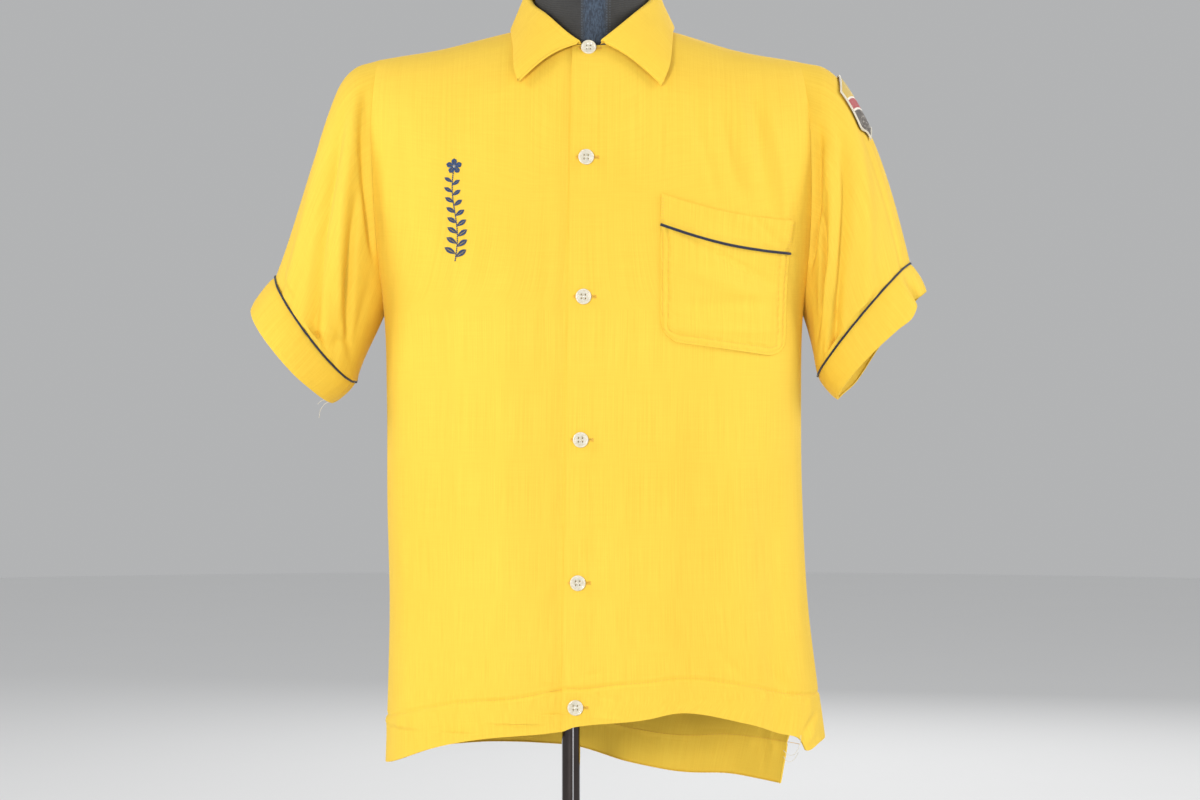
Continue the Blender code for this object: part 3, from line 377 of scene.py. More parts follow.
SLEEVE_ENDS = {
    R: Ring((-254, 0, 772), (-40, 0, 52.5), (-1.5, -58, -9), (0, 56, 3)),
    L: Ring((293, 0, 781), (46, 0, 56), (-12.5, -56, -1.5), (2, 56, 3)),
}
CUFF_ENDS = {
    R: Ring((-278, 0, 745), (-41, 0, 48), (-2.6, -62, -8.2), (0, 59, 6)),
    L: Ring((310.5, 0, 753), (44, 0, 53), (-12.5, -59, -1), (3, 58, 6)),
}
PIPING_DIAMETER, PIPING_DOWN, PIPING_LIFT = 2.1, 1.0, 0.1
CUFF_DOWN, CUFF_SWELL = 1.9, 2.0


@dataclass(frozen=True)
class SleeveFold:
    """A fold along a sleeve: by share of the way round at its start and end, and shares of the length."""

    round_start: float
    round_end: float
    half_round: float
    start: float
    end: float
    depth: float

    def at(self, around: float, along: float) -> float:
        """Outward move of the cloth at shares of the way round and down the sleeve."""
        reach = (along - self.start) / (self.end - self.start)
        if not 0 < reach <= 1:
            return 0.0
        middle = blend(self.round_start, self.round_end, reach)
        off = ((around - middle + 0.5) % 1.0 - 0.5) / self.half_round
        tail = ease((1.4 - reach) / 0.4) if self.end >= 0.95 else ease((1 - reach) / 0.4)
        return self.depth * ease(reach / 0.4) * tail * exp(-off * off)


SLEEVE_FOLDS = {
    R: [SleeveFold(*row) for row in (
        (0.41, 0.24, 0.03, 0.1, 0.96, -9.5), (0.345, 0.15, 0.028, 0.06, 0.85, 6.5),
        (0.27, 0.1, 0.022, 0.06, 0.9, -7), (0.46, 0.36, 0.03, 0.2, 0.95, 3.6),
        (0.72, 0.72, 0.045, 0.1, 1, -4.4), (0.81, 0.81, 0.04, 0.1, 1, 2.6),
        (0.11, 0.105, 0.018, 0.05, 0.9, -1.6), (0.2, 0.16, 0.014, 0.3, 1, -1.2),
        (0.3, 0.28, 0.016, 0.25, 0.9, 1), (0.42, 0.4, 0.02, 0.3, 1, -1),
        (0.12, 0.2, 0.014, 0.7, 0.98, -2.2), (0.16, 0.26, 0.014, 0.76, 0.99, 1.8),
        (0.66, 0.68, 0.02, 0.2, 1, 1.3), (0.89, 0.88, 0.02, 0.1, 0.95, -1.7),
        (0.56, 0.58, 0.02, 0.25, 0.9, -0.9),
    )],
    L: [SleeveFold(*row) for row in (
        (0.38, 0.17, 0.024, 0.14, 0.96, -8.5), (0.32, 0.13, 0.024, 0.05, 0.8, 6.5),
        (0.43, 0.28, 0.035, 0.16, 0.98, 5), (0.415, 0.425, 0.008, 0.35, 1, -1.5),
        (0.7, 0.7, 0.045, 0.1, 1, -4.2), (0.8, 0.8, 0.04, 0.1, 1, 2.8),
        (0.1, 0.105, 0.018, 0.05, 0.9, -1.7), (0.205, 0.2, 0.012, 0.1, 1, -1.4),
        (0.3, 0.29, 0.022, 0.1, 0.9, 1.2), (0.24, 0.1, 0.02, 0.02, 0.8, -6.5),
        (0.43, 0.44, 0.02, 0.4, 0.95, 0.8), (0.14, 0.1, 0.012, 0.8, 0.99, -1),
        (0.64, 0.66, 0.02, 0.2, 1, 1.2), (0.89, 0.88, 0.02, 0.1, 0.95, -1.8),
        (0.57, 0.56, 0.018, 0.35, 0.95, -0.9),
    )],
}
# Hollow beside the armhole: first and last share of the way round, and its depth.
ARMHOLE_HOLLOWS = {R: (0.12, 0.42, 6.0), L: (0.1, 0.36, 6.5)}
# Fullness of the sleeve's head, and the share of the way down at which it is fullest.
SHOULDER_PUFFS = {R: (6.0, 0.22), L: (4.5, 0.17)}
# By share of the way round: how the cuff's lower edge strays outwards, towards the back and up.
CUFF_DRAPES = {
    R: {
        0: (0, 0, 0), 0.14: (0.5, 0, 1.5), 0.22: (-1, -1.5, -1.5), 0.36: (1.5, 0, 0.5), 0.5: (0, 0, 0),
        0.68: (2, 3, -3), 0.8: (-1, 0, 2), 1: (0, 0, 0),
    },
    L: {
        0: (0, 0, 0), 0.14: (0.5, -1, 1.5), 0.24: (0.5, -2, -2.5), 0.3: (8.5, -3, 0.5), 0.35: (9, -4, -3),
        0.385: (6, -4, 1.5), 0.42: (-6, 7, -1), 0.455: (0, 3, 1), 0.5: (1.5, 0, 3), 0.6: (0, 0, 0),
        0.74: (2, 0, -3), 0.85: (4, 0, -7), 0.93: (2, 0, -2.5), 1: (0, 0, 0),
    },
}

# By share of the way round from the middle of the neck: where the collar's stand starts, where it rolls,
# where it ends and how far its fall bows.
COLLAR_ROWS = {
    -1: ((-10, -78.2, 1045), (-12, -80.8, 1048), (-70, -101, 1006), 5.5),
    -0.86: ((-24, -74, 1048.2), (-25, -76.5, 1058), (-74, -92.5, 1021), 2.5),
    -0.7: ((-43, -60, 1057), (-43, -60, 1076), (-75.5, -69, 1042), 1),
    -0.55: ((-56.5, -33, 1068), (-56.5, -33, 1090), (-78.5, -36, 1060.5), 1),
    -0.42: ((-61.3, -4, 1072), (-61.3, -4, 1104), (-80, -2, 1070.5), 1),
    -0.28: ((-57, 24, 1070.5), (-57, 24, 1113), (-76, 34, 1072.5), 1),
    -0.14: ((-35, 51, 1069), (-35, 51, 1117), (-48, 78, 1066), 1),
    0: ((0, 62.5, 1069.2), (0, 62.5, 1118), (0, 89, 1061), 1),
    0.14: ((35, 51, 1069), (35, 51, 1117), (48, 78, 1066), 1),
    0.28: ((57, 24, 1070.5), (57, 24, 1113), (76, 34, 1072.5), 1),
    0.42: ((61.3, -4, 1072), (61.3, -4, 1106), (81, -2, 1072), 1),
    0.55: ((56.5, -33, 1068), (56.5, -33, 1094), (79, -36, 1063), 1),
    0.7: ((43, -60, 1057), (43, -60, 1079), (77, -69, 1044), 1),
    0.86: ((24, -74, 1048.2), (25, -76.5, 1062), (74, -93, 1022), 1.5),
    1: ((9, -78.8, 1045.5), (11, -81.5, 1050.2), (67.5, -101, 1005), 4.5),
}
COLLAR_ROLL_RADIUS = 2.6

BUTTON_HEIGHTS = (1041.0, 931.5, 798.5, 662.0, 525.5, 406.5)
BUTTONED_LENGTH = BUTTON_HEIGHTS[0] - BUTTON_HEIGHTS[-1]
BUTTON_LINE_TOP, BUTTON_LINE_BOTTOM = 18.0, 5.5
BUTTON_LIFT = SEAM_GAP + 0.35
PLACKET_EDGE_TOP, PLACKET_EDGE_BOTTOM = 2.0, -7.5
UNDERLAP_PAST_BUTTONS, UNDERLAP_DEPTH, UNDERLAP_RAMP = 17.0, 1.1, 12.0
EDGE_ROLL = 0.35


@dataclass(frozen=True)
class Corners:
    """A four-sided shape on the front: corners as (X, height)."""

    top_inner: tuple[float, float]
    top_outer: tuple[float, float]
    bottom_inner: tuple[float, float]
    bottom_outer: tuple[float, float]


POCKET = Corners((86.5, 866.5), (210.0, 841.0), (86.5, 757.0), (209.0, 741.0))
POCKET_BAND = Corners((87.5, 897.0), (211.0, 873.5), (86.5, 868.0), (210.0, 842.5))
POCKET_LIFT, POCKET_WALL, BAND_LIFT = 0.3, 0.8, 0.1
POCKET_BULGE, POCKET_MOUTH_SAG, POCKET_CORNER_ROUND = 1.6, 5.0, 20.0
MOUTH_PIPING_UP, MOUTH_PIPING_LIFT, MOUTH_PIPING_DIAMETER = -0.025, 0.95, 2.7

PATCH_ROUND, PATCH_ALONG = (0.415, 0.555), (0.225, 0.505)
PATCH_LIFT, PATCH_LEAN = 1.2, 0.03


def placket_edge(z: float) -> float:
    """X of the upper front's closing edge."""
    return blend(PLACKET_EDGE_TOP, PLACKET_EDGE_BOTTOM, (BUTTON_HEIGHTS[0] - z) / BUTTONED_LENGTH)


def button_line(z: float) -> float:
    """X of the buttons at a height."""
    return blend(BUTTON_LINE_TOP, BUTTON_LINE_BOTTOM, (BUTTON_HEIGHTS[0] - z) / BUTTONED_LENGTH)


def underlap_edge(z: float) -> float:
    """X of the lower front's closing edge, hidden under the upper front."""
    return button_line(z) + UNDERLAP_PAST_BUTTONS


# ---- forms of the cloth


def oval(bearing: float) -> tuple[float, float, float]:
    """Sine and cosine of a bearing, and what they are multiplied by on a squarish oval."""
    across, out = sin(bearing), cos(bearing)
    return across, out, (abs(across) ** SQUARENESS + abs(out) ** SQUARENESS) ** (-1 / SQUARENESS)


@dataclass
class Spot:
    """Where a panel's grid point lies: its bearing, its height and its lean over the shoulder."""

    bearing: float
    height: float
    lean: float = 0.0


class BodyForm:
    """The hang of the shirt's body, with its folds and creases."""

    def __init__(self) -> None:
        """Make the curves of the tables."""
        sections, shoulders = Curve.columns(SECTIONS), Curve.columns(SHOULDERS)
        self.widths, self.depths = dict(zip(Side, sections[:2])), dict(zip(Face, sections[2:]))
        self.ridges, self.roundings = dict(zip(Face, shoulders[:2])), dict(zip(Face, shoulders[2:]))
        self.necks = dict(zip(Face, Curve.columns(NECKLINES)))
        self.hems = {face: Curve(HEMS[face]) for face in Face}

    def half_width(self, side: Side, face: Face, height: float) -> float:
        """Half width of the body; below the vent the back is drawn in behind the front."""
        width = self.widths[side].at(height)
        if face is B and height < VENT_TOP:
            width -= VENTS[side].back_tuck * ease((VENT_TOP - height) / (VENT_TOP - min(SECTIONS)))
        return width

    def bearing_at_x(self, side: Side, x: float, height: float) -> float:
        """Bearing from straight ahead of a point of the body at an X."""
        across = side.value * (x - CENTRE_X) / self.widths[side].at(height)
        return atan2(across, (1 - min(abs(across), 0.999) ** SQUARENESS) ** (1 / SQUARENESS))

    def ridge(self, side: Side, face: Face, distance: float) -> float:
        """Height of the shoulder ridge at a distance from the centre line; the left one hangs lower."""
        drop = LEFT_SHOULDER_DROP * ease((distance - 70) / 70) if side is L else 0.0
        return self.ridges[face].at(distance) - drop

    def hem_band(self, face: Face, x: float, z: float) -> float:
        """The turned-up hem: a thicker band under a pulled-in line of stitches, with small puckers."""
        up = z - self.hems[face].at(x) - HEM_BAND_HEIGHTS[face].at(x)
        if up > 14:
            return 0.0
        pucker = sin(x * 0.41 + 2.0 * sin(x * 0.053)) * sin(x * 0.137 + 1.0)
        stitched = bump(up, 0.0, 1.9) * (-1.1 - 0.5 * pucker)
        return stitched + 0.9 * ease(-up / 3.0) + 0.7 * pucker * bump(up, -7.0, 8.0)

    def relief(self, face: Face, x: float, z: float) -> float:
        """How far folds, creases and the hem band move a panel's cloth outwards at a place."""
        total = sum(fold.at(x, z) for fold in FOLDS[face])
        return total + sum(crease.at(x, z) for crease in CREASES[face]) + self.hem_band(face, x, z)

    def point(self, side: Side, face: Face, spot: Spot, lift: float = 0.0, folds: bool = True) -> Vector:
        """A point of the body's outer face.

        Args:
            side: which side of the centre line.
            face: front or back.
            spot: where on the panel.
            lift: how far out from the cloth.
            folds: whether the cloth's relief is added.

        Returns:
            The point in millimetres.
        """
        across, out, size = oval(spot.bearing)
        width = self.half_width(side, face, spot.height)
        depth = self.depths[face].at(spot.height)
        x = CENTRE_X + side.value * width * across * size
        sideways = side.value * copysign(abs(across) ** (SQUARENESS - 1), across) / width
        normal = Vector((sideways, abs(out) ** (SQUARENESS - 1) / depth, 0.0)).normalized()
        z, level, distance = spot.height, cos(spot.lean), abs(x - CENTRE_X)
        if spot.lean:
            z = self.ridge(side, face, distance)
            z -= self.roundings[face].at(distance) * (1 - sin(spot.lean))
        normal = normal * level + UP * sin(spot.lean)
        fill = ARMHOLE_FILL[face] * ease((distance - 130) / 75) * ease((z - 795) / 130)
        moved = (self.relief(face, x, z) + fill) * level if folds else 0.0
        point = Vector((x, depth * out * size * level, z)) + normal * (moved + lift)
        return Vector((point.x, -point.y if face is F else point.y, point.z))

    def front_at(self, x: float, z: float, lift: float) -> Vector:
        """A point lifted off the front at an X and a height."""
        side, across = L if x > CENTRE_X else R, abs(x - CENTRE_X)
        rise = 1 - (self.ridge(side, F, across) - z) / self.roundings[F].at(across)
        lean = asin(min(max(0.0, rise), 1.0))
        return self.point(side, F, Spot(self.bearing_at_x(side, x, z), z, lean), lift)

    def side_bearing(self, side: Side, face: Face, zone: Zone, share: float) -> float:
        """Bearing of a panel's side edge: the side seam, the vent below it or the armhole above it."""
        if zone is Zone.VENT:
            vent = VENTS[side]
            if face is F:
                return radians(90 - vent.front_turn * (1 - share))
            return radians(90 - vent.back_turn * (1 - share) ** vent.opening)
        if zone is Zone.HANG:
            return pi / 2
        depth_share = ARMHOLE_DEPTH_SHARE * (sin(share * pi / 2) if zone is Zone.ARM else 1.0)
        return atan2((1 - depth_share**SQUARENESS) ** (1 / SQUARENESS), depth_share)

    def panel_spot(
        self, side: Side, face: Face, column_share: float, zone: Zone, share: float, edge: Edge | None
    ) -> Spot:
        """A place on a front or on half the back.

        Args:
            side: which half.
            face: front or back.
            column_share: share of the way from the centre edge to the side.
            zone: the stretch of the panel.
            share: share of the way up the zone.
            edge: X of the centre edge by height, or None for the centre line.

        Returns:
            The place.
        """
        side_at = self.side_bearing(side, face, zone, share)
        z, lean, bearing = UNDERARM, 0.0, 0.0
        for _ in range(4):
            centre_at = 0.0 if edge is None else self.bearing_at_x(side, edge(z), z)
            bearing = blend(centre_at, side_at, column_share)
            across, _, size = oval(bearing)
            x = CENTRE_X + side.value * self.half_width(side, face, z) * across * size
            distance = abs(x - CENTRE_X)
            ridge, rounding = self.ridge(side, face, distance), self.roundings[face].at(distance)
            if zone is Zone.VENT:
                z = blend(self.hems[face].at(x), VENT_TOP, share)
            elif zone is Zone.HANG:
                z = blend(VENT_TOP, UNDERARM, share)
            elif zone is Zone.ARM:
                z = blend(UNDERARM, ridge - rounding, 1 - cos(share * pi / 2))
            else:
                top = pi / 2
                if distance < NECK_HALF_WIDTH:
                    top = asin(min(1 - (ridge - self.necks[face].at(distance)) / rounding, 1.0))
                lean = top * share
                z = ridge - rounding * (1 - sin(lean))
        return Spot(bearing, z, lean)


class SleeveForm:
    """One sleeve's outer face and its cuff's, by share of the way round and share of the way down."""

    ARM_STEPS, CAP_STEPS = 7, 6
    NORMAL_STEP = 0.01

    def __init__(self, body: BodyForm, side: Side) -> None:
        """Read the armhole off the body that the sleeve on a side is sewn to.

        Args:
            body: the body's form.
            side: which sleeve.
        """
        self.side = side
        stretches = [(Zone.ARM, i / self.ARM_STEPS) for i in range(self.ARM_STEPS)]
        stretches += [(Zone.CAP, i / self.CAP_STEPS) for i in range(self.CAP_STEPS + 1)]
        edges = {
            face: [
                body.point(side, face, body.panel_spot(side, face, 1.0, zone, share, None))
                for zone, share in stretches
            ]
            for face in Face
        }
        points = edges[F] + edges[B][-2:0:-1]
        lengths = [(points[(i + 1) % len(points)] - p).length for i, p in enumerate(points)]
        shares = [sum(lengths[:i]) / sum(lengths) for i in range(len(points))]
        stops = {shares[-1] - 1.0: points[-1], **dict(zip(shares, points))}
        self.start = Curve({**stops, 1.0: points[0], 1.0 + shares[1]: points[1]})
        self.pull_out, self.pull_back = self.pulls(0), self.pulls(1)
        self.end, self.cuff_end = SLEEVE_ENDS[side], CUFF_ENDS[side]
        self.drape = Curve({share: Vector(move) for share, move in CUFF_DRAPES[side].items()})

    def pulls(self, end: int) -> Curve:
        """The pulls at the sleeve's armhole, 0, or at its cuff, 1, turned to its side."""
        stops = {}
        for share, ends in SLEEVE_PULLS.items():
            out, back, up = ends[end]
            out += SLEEVE_TOPS[self.side][end] * TOP_SHARES.get(share, 0.0)
            stops[share] = Vector((out * self.side.value, back, up))
        return Curve(stops)

    def bare(self, around: float, along: float) -> Vector:
        """A point of the sleeve with no fold.

        Args:
            around: share of the way round.
            along: share of the way from armhole to cuff.

        Returns:
            The point in millimetres.
        """
        around %= 1.0
        pull = self.pull_out.at(around)
        first = self.start.at(around) - pull.normalized() * SEAM_TUCK
        last = self.end.at(around)
        t, u = along, 1 - along
        return (
            first * u**3
            + (first + pull) * (3 * u * u * t)
            + (last + self.pull_back.at(around)) * (3 * u * t * t)
            + last * t**3
        )

    def relief(self, around: float, along: float) -> float:
        """How far folds, and puckers beside the seams, move the cloth outwards."""
        total = sum(fold.at(around, along) for fold in SLEEVE_FOLDS[self.side])
        pucker = sin(around * 96.0 + 2.5 * sin(around * 31.0)) * sin(around * 37.0)
        first, last, depth = ARMHOLE_HOLLOWS[self.side]
        across = ease((around % 1.0 - first) / 0.06) * ease((last - around % 1.0) / 0.05)
        total -= depth * across * bump(along, 0.08, 0.05)
        puff, middle = SHOULDER_PUFFS[self.side]
        total += puff * ease(along / 0.14) * bump(around % 1.0, 0.5, 0.13) * bump(along, middle, 0.16)
        return total + 0.4 * pucker * bump(along, 0.985, 0.035)

    def point(self, around: float, along: float, lift: float = 0.0) -> Vector:
        """A point of the sleeve, moved out by its folds and by lift."""
        step = self.NORMAL_STEP
        round_way = self.bare(around + step, along) - self.bare(around - step, along)
        down_way = self.bare(around, min(along + step, 1)) - self.bare(around, max(along - step, 0))
        normal = round_way.cross(down_way).normalized() * -self.side.value
        return self.bare(around, along) + normal * (self.relief(around, along) + lift)

    def cuff(self, around: float, along: float, down: float = 0.0, lift: float = 0.0) -> Vector:
        """A point of the cuff, which carries on from the sleeve's end and swells a little.

        Args:
            around: share of the way round.
            along: share of the way down the cuff.
            down: a length past that.
            lift: a length outwards.

        Returns:
            The point in millimetres.
        """
        around %= 1.0
        move = self.drape.at(around)
        first = self.end.at(around)
        last = self.cuff_end.at(around) + Vector((move.x * self.side.value, move.y, move.z))
        along += down / (last - first).length * (1 - along)
        point = blend(first, last, along)
        centre = blend(self.end.centre, self.cuff_end.centre, along)
        pucker = sin(around * 88.0 + 3.0 * sin(around * 23.0)) * sin(around * 41.0 + 0.6)
        swell = CUFF_SWELL * sin(pi * min(along, 1.0)) + lift
        swell += pucker * (0.7 * bump(along, 0.14, 0.3) + 0.3 * bump(along, 0.8, 0.12))
        return point + (point - centre).normalized() * swell


# ---- meshes


class Workshop:
    """Makes meshes, puts them in the scene and reports them."""

    @staticmethod
    def piece(name: str, shape: BMesh, finish: Material, slot: str, node: str | None = None) -> Object:
        """A smooth object from a bmesh, riding on the part's one body.

        Args:
            name: the object's name.
            shape: its bmesh, which is freed.
            finish: its material.
            slot: the record's material slot; not used.
            node: the solid that it stands for, if any.

        Returns:
            The object.
        """
        mesh = bpy.data.meshes.new(name)
        shape.to_mesh(mesh)
        shape.free()
        mesh.materials.append(finish)
        mesh.shade_smooth()
        obj = bpy.data.objects.new(name, mesh)
        bpy.context.scene.collection.objects.link(obj)
        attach(obj, BODY)
        if node:
            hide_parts(node)
        LOG.info("%s: %d faces", name, len(mesh.polygons))
        return obj

    @staticmethod
    def ring(shape: BMesh, sides: int, matrix: Matrix, radius: float) -> Loop:
        """Add a circle of a radius in millimetres, placed by a matrix, and return its edges."""
        size = radius * MM
        made = bmesh.ops.create_circle(shape, cap_ends=False, segments=sides, radius=size, matrix=matrix)
        return list({edge for vertex in made["verts"] for edge in vertex.link_edges})

    @staticmethod
    def skin(shape: BMesh, rings: Sequence[Loop], closed: bool) -> None:
        """Join rings of edges to one skin, which meets itself or else is capped at both ends."""
        faces: list[bmesh.types.BMFace] = []
        for first, second in zip(rings, [*rings[1:], rings[0]] if closed else rings[1:]):
            faces += bmesh.ops.bridge_loops(shape, edges=first + second)["faces"]
        for ring in () if closed else (rings[0], rings[-1]):
            faces += bmesh.ops.contextual_create(shape, geom=ring)["faces"]
        bmesh.ops.recalc_face_normals(shape, faces=faces)

    @staticmethod
    def tube(
        shape: BMesh, points: Sequence[Vector], radius: float, sides: int = 8, closed: bool = False
    ) -> None:
        """Add a round strip through points, in millimetres, to a bmesh.

        Args:
            shape: the bmesh to add to.
            points: the middle line.
            radius: its radius in millimetres.
            sides: sides of the section.
            closed: whether the strip meets itself.
        """
        count = len(points)
        rings = []
        side_way = (points[1] - points[0]).orthogonal()
        for i, point in enumerate(points):
            before = points[i - 1] if i or closed else point
            after = points[(i + 1) % count] if i < count - 1 or closed else point
            along = (after - before).normalized()
            side_way = (side_way - along * side_way.dot(along)).normalized()
            turn = Matrix((side_way, along.cross(side_way), along)).transposed().to_4x4()
            rings.append(Workshop.ring(shape, sides, Matrix.Translation(point * MM) @ turn, radius))
        Workshop.skin(shape, rings, closed)

    @staticmethod
    def lathe(shape: BMesh, profile: Sequence[tuple[float, float]], sides: int, matrix: Matrix) -> None:
        """Add a closed turned shape to a bmesh.

        Args:
            shape: the bmesh to add to.
            profile: radius and height of each ring, in millimetres.
            sides: sides of the rings.
            matrix: what moves and stretches the rings.
        """
        places = [(matrix @ Matrix.Translation(UP * height * MM), radius) for radius, height in profile]
        Workshop.skin(shape, [Workshop.ring(shape, sides, *place) for place in places], closed=False)

    @staticmethod
    def cord(node: str, points: Sequence[Vector], diameter: float, finish: Material, closed: bool) -> Object:
        """The cord of a piping through points."""
        shape = bmesh.new()
        Workshop.tube(shape, points, diameter / 2, 12, closed)
        return Workshop.piece(f"{node}_cord", shape, finish, "navy_piping", node)


@dataclass(frozen=True)
class Cut:
    """A sheet's cut size in metres, its mesh's columns and rows, and its area if it isn't a rectangle."""

    width: float
    length: float
    columns: int
    rows: int
    area: float | None = None


class Sheet:
    """A thin shell of cloth on a grid of points, with a UV map in metres of cut cloth."""

    SHARP = radians(62)

    def __init__(
        self,
        node: str,
        cut: Cut,
        place: Place,
        finish: Material,
        wall: float = CLOTH,
        joined: bool = False,
        turned: bool = False,
        stuff: str = "cloth",
        slot: str = "yellow_cloth",
    ) -> None:
        """Make the sheet.

        Args:
            node: the solid that it stands for, which starts its name.
            cut: its size and mesh.
            place: the point of a column and row, in millimetres.
            finish: its material.
            wall: the shell's thickness in millimetres, on the inner side.
            joined: whether the last column meets the first.
            turned: whether the faces are turned over, where columns run the other way.
            stuff: what ends its name.
            slot: the record's material slot.
        """
        self.cut = cut
        self.trims: list[Object] = []
        shape = bmesh.new()
        uv_layer = shape.loops.layers.uv.new("cloth")
        bmesh.ops.create_grid(shape, x_segments=cut.columns, y_segments=cut.rows, size=0.5, calc_uvs=True)
        for face in shape.faces:
            for loop in face.loops:
                across, up = loop.vert.co.x + 0.5, loop.vert.co.y + 0.5
                loop[uv_layer].uv = (across * cut.width, up * cut.length)
        for vertex in shape.verts:
            column, row = round((vertex.co.x + 0.5) * cut.columns), round((vertex.co.y + 0.5) * cut.rows)
            vertex.co = place(column, row) * MM
        if joined:
            bmesh.ops.remove_doubles(shape, verts=shape.verts, dist=1e-6)
        if turned:
            bmesh.ops.reverse_faces(shape, faces=shape.faces)
        self.obj = Workshop.piece(f"{node}_{stuff}", shape, finish, slot, node)
        thicken = self.obj.modifiers.new("Wall", "SOLIDIFY")
        thicken.thickness = wall * MM
        thicken.offset = -1.0
        self.obj.data.set_sharp_from_angle(angle=self.SHARP)

    def declare(self) -> None:
        """Take what is sewn on the sheet as a list, which nothing keeps."""
        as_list(self.trims)


# ---- finishes


class Value:
    """A socket in a material, with arithmetic that adds Math nodes."""

    def __init__(self, recipe: "Recipe", socket: bpy.types.NodeSocket) -> None:
        """Wrap a socket of a recipe."""
        self.recipe, self.socket = recipe, socket

    def math(self, operation: str, *others: "Value | float", clamp: bool = False) -> "Value":
        """Join this value with others by a Math node's operation."""
        sockets = dict(enumerate((self, *others)))
        return self.recipe.add("ShaderNodeMath", {"operation": operation, "use_clamp": clamp}, sockets)

    def __add__(self, other: "Value | float") -> "Value":
        """Sum."""
        return self.math("ADD", other)

    def __mul__(self, other: "Value | float") -> "Value":
        """Product."""
        return self.math("MULTIPLY", other)

    def __sub__(self, other: "Value | float") -> "Value":
        """Difference."""
        return self.math("SUBTRACT", other)

    def __rsub__(self, other: float) -> "Value":
        """Difference from a number."""
        return self * -1.0 + other

    def __truediv__(self, other: "Value | float") -> "Value":
        """Quotient."""
        return self.math("DIVIDE", other)

    __radd__, __rmul__ = __add__, __mul__

    def sine(self) -> "Value":
        """Sine."""
        return self.math("SINE")

    def size(self) -> "Value":
        """Value without its sign."""
        return self.math("ABSOLUTE")

    def most(self, other: "Value | float") -> "Value":
        """The larger value."""
        return self.math("MAXIMUM", other)

    def clamped(self) -> "Value":
        """Value kept between 0 and 1."""
        return self.math("MULTIPLY", 1.0, clamp=True)

    def above(self, edge: float, soft: float) -> "Value":
        """0 below an edge and 1 above it, softly."""
        return ((self - edge) / soft + 0.5).clamped()

    def between(self, low: float, high: float, soft: float) -> "Value":
        """1 between two edges and 0 outside, softly."""
        return self.above(low, soft) * (1 - self.above(high, soft))

    def wave(self, turns: float) -> "Value":
        """A sine wave between 0 and 1."""
        return (self * turns).sine() * 0.5 + 0.5


class Recipe:
    """The nodes of one material round a Principled shader."""

    def __init__(self, name: str) -> None:
        """Start a material of a name, with its solid coordinates."""
        self.material = bpy.data.materials.new(name)
        self.material.use_nodes = True
        self.tree = self.material.node_tree
        self.solid = self.coordinates("Object")

    def add(
        self, kind: str, settings: Mapping[str, Any], sockets: Mapping[Any, Any], output: Any = 0
    ) -> Value:
        """Add a node.

        Args:
            kind: its type.
            settings: its own settings.
            sockets: values or links by input name or number.
            output: the output that is wanted, by name or number.

        Returns:
            The output.
        """
        node = self.tree.nodes.new(kind)
        for key, value in settings.items():
            setattr(node, key, value)
        for key, value in sockets.items():
            self.feed(node.inputs[key], value)
        return Value(self, node.outputs[output])

    def feed(self, target: bpy.types.NodeSocket, value: Any) -> None:
        """Set or link an input."""
        if isinstance(value, Value):
            self.tree.links.new(value.socket, target)
        elif isinstance(value, tuple) and target.type == "RGBA":
            target.default_value = (*value, 1.0)
        else:
            target.default_value = value

    def coordinates(self, name: str) -> Value:
        """Object or UV coordinates."""
        return self.add("ShaderNodeTexCoord", {}, {}, name)

    def part(self, vector: Value, axis: str) -> Value:
        """The X, Y or Z of a vector."""
        return self.add("ShaderNodeSeparateXYZ", {}, {0: vector}, axis)

    def noise(
        self, vector: Value, scale: float | Triple, detail: float = 2.0, roughness: float = 0.5
    ) -> Value:
        """Soft noise about a half, of one scale or of one for each axis."""
        if isinstance(scale, tuple):
            sockets = {0: vector, 1: Vector(scale)}
            vector = self.add("ShaderNodeVectorMath", {"operation": "MULTIPLY"}, sockets)
            scale = 1.0
        sockets = {"Vector": vector, "Scale": scale, "Detail": detail, "Roughness": roughness}
        return self.add("ShaderNodeTexNoise", {}, sockets, "Fac")

    def mix(self, first: Any, second: Any, share: Any) -> Value:
        """A colour a share of the way from the first to the second."""
        return self.add("ShaderNodeMix", {"data_type": "RGBA"}, {0: share, 6: first, 7: second}, 2)

    def bump(self, height: Value, distance: float, strength: float, before: Value | None = None) -> Value:
        """A normal bumped by a height, of which 1 stands for a distance in metres, on top of another one."""
        sockets = {"Height": height, "Distance": distance, "Strength": strength}
        return self.add("ShaderNodeBump", {}, {**sockets, "Normal": before} if before else sockets)

    def finish(self, **sockets: Any) -> Material:
        """Feed the shader, by input names with _ for spaces, and return the material."""
        for key, value in sockets.items():
            self.feed(self.tree.nodes["Principled BSDF"].inputs[key.replace("_", " ")], value)
        return self.material


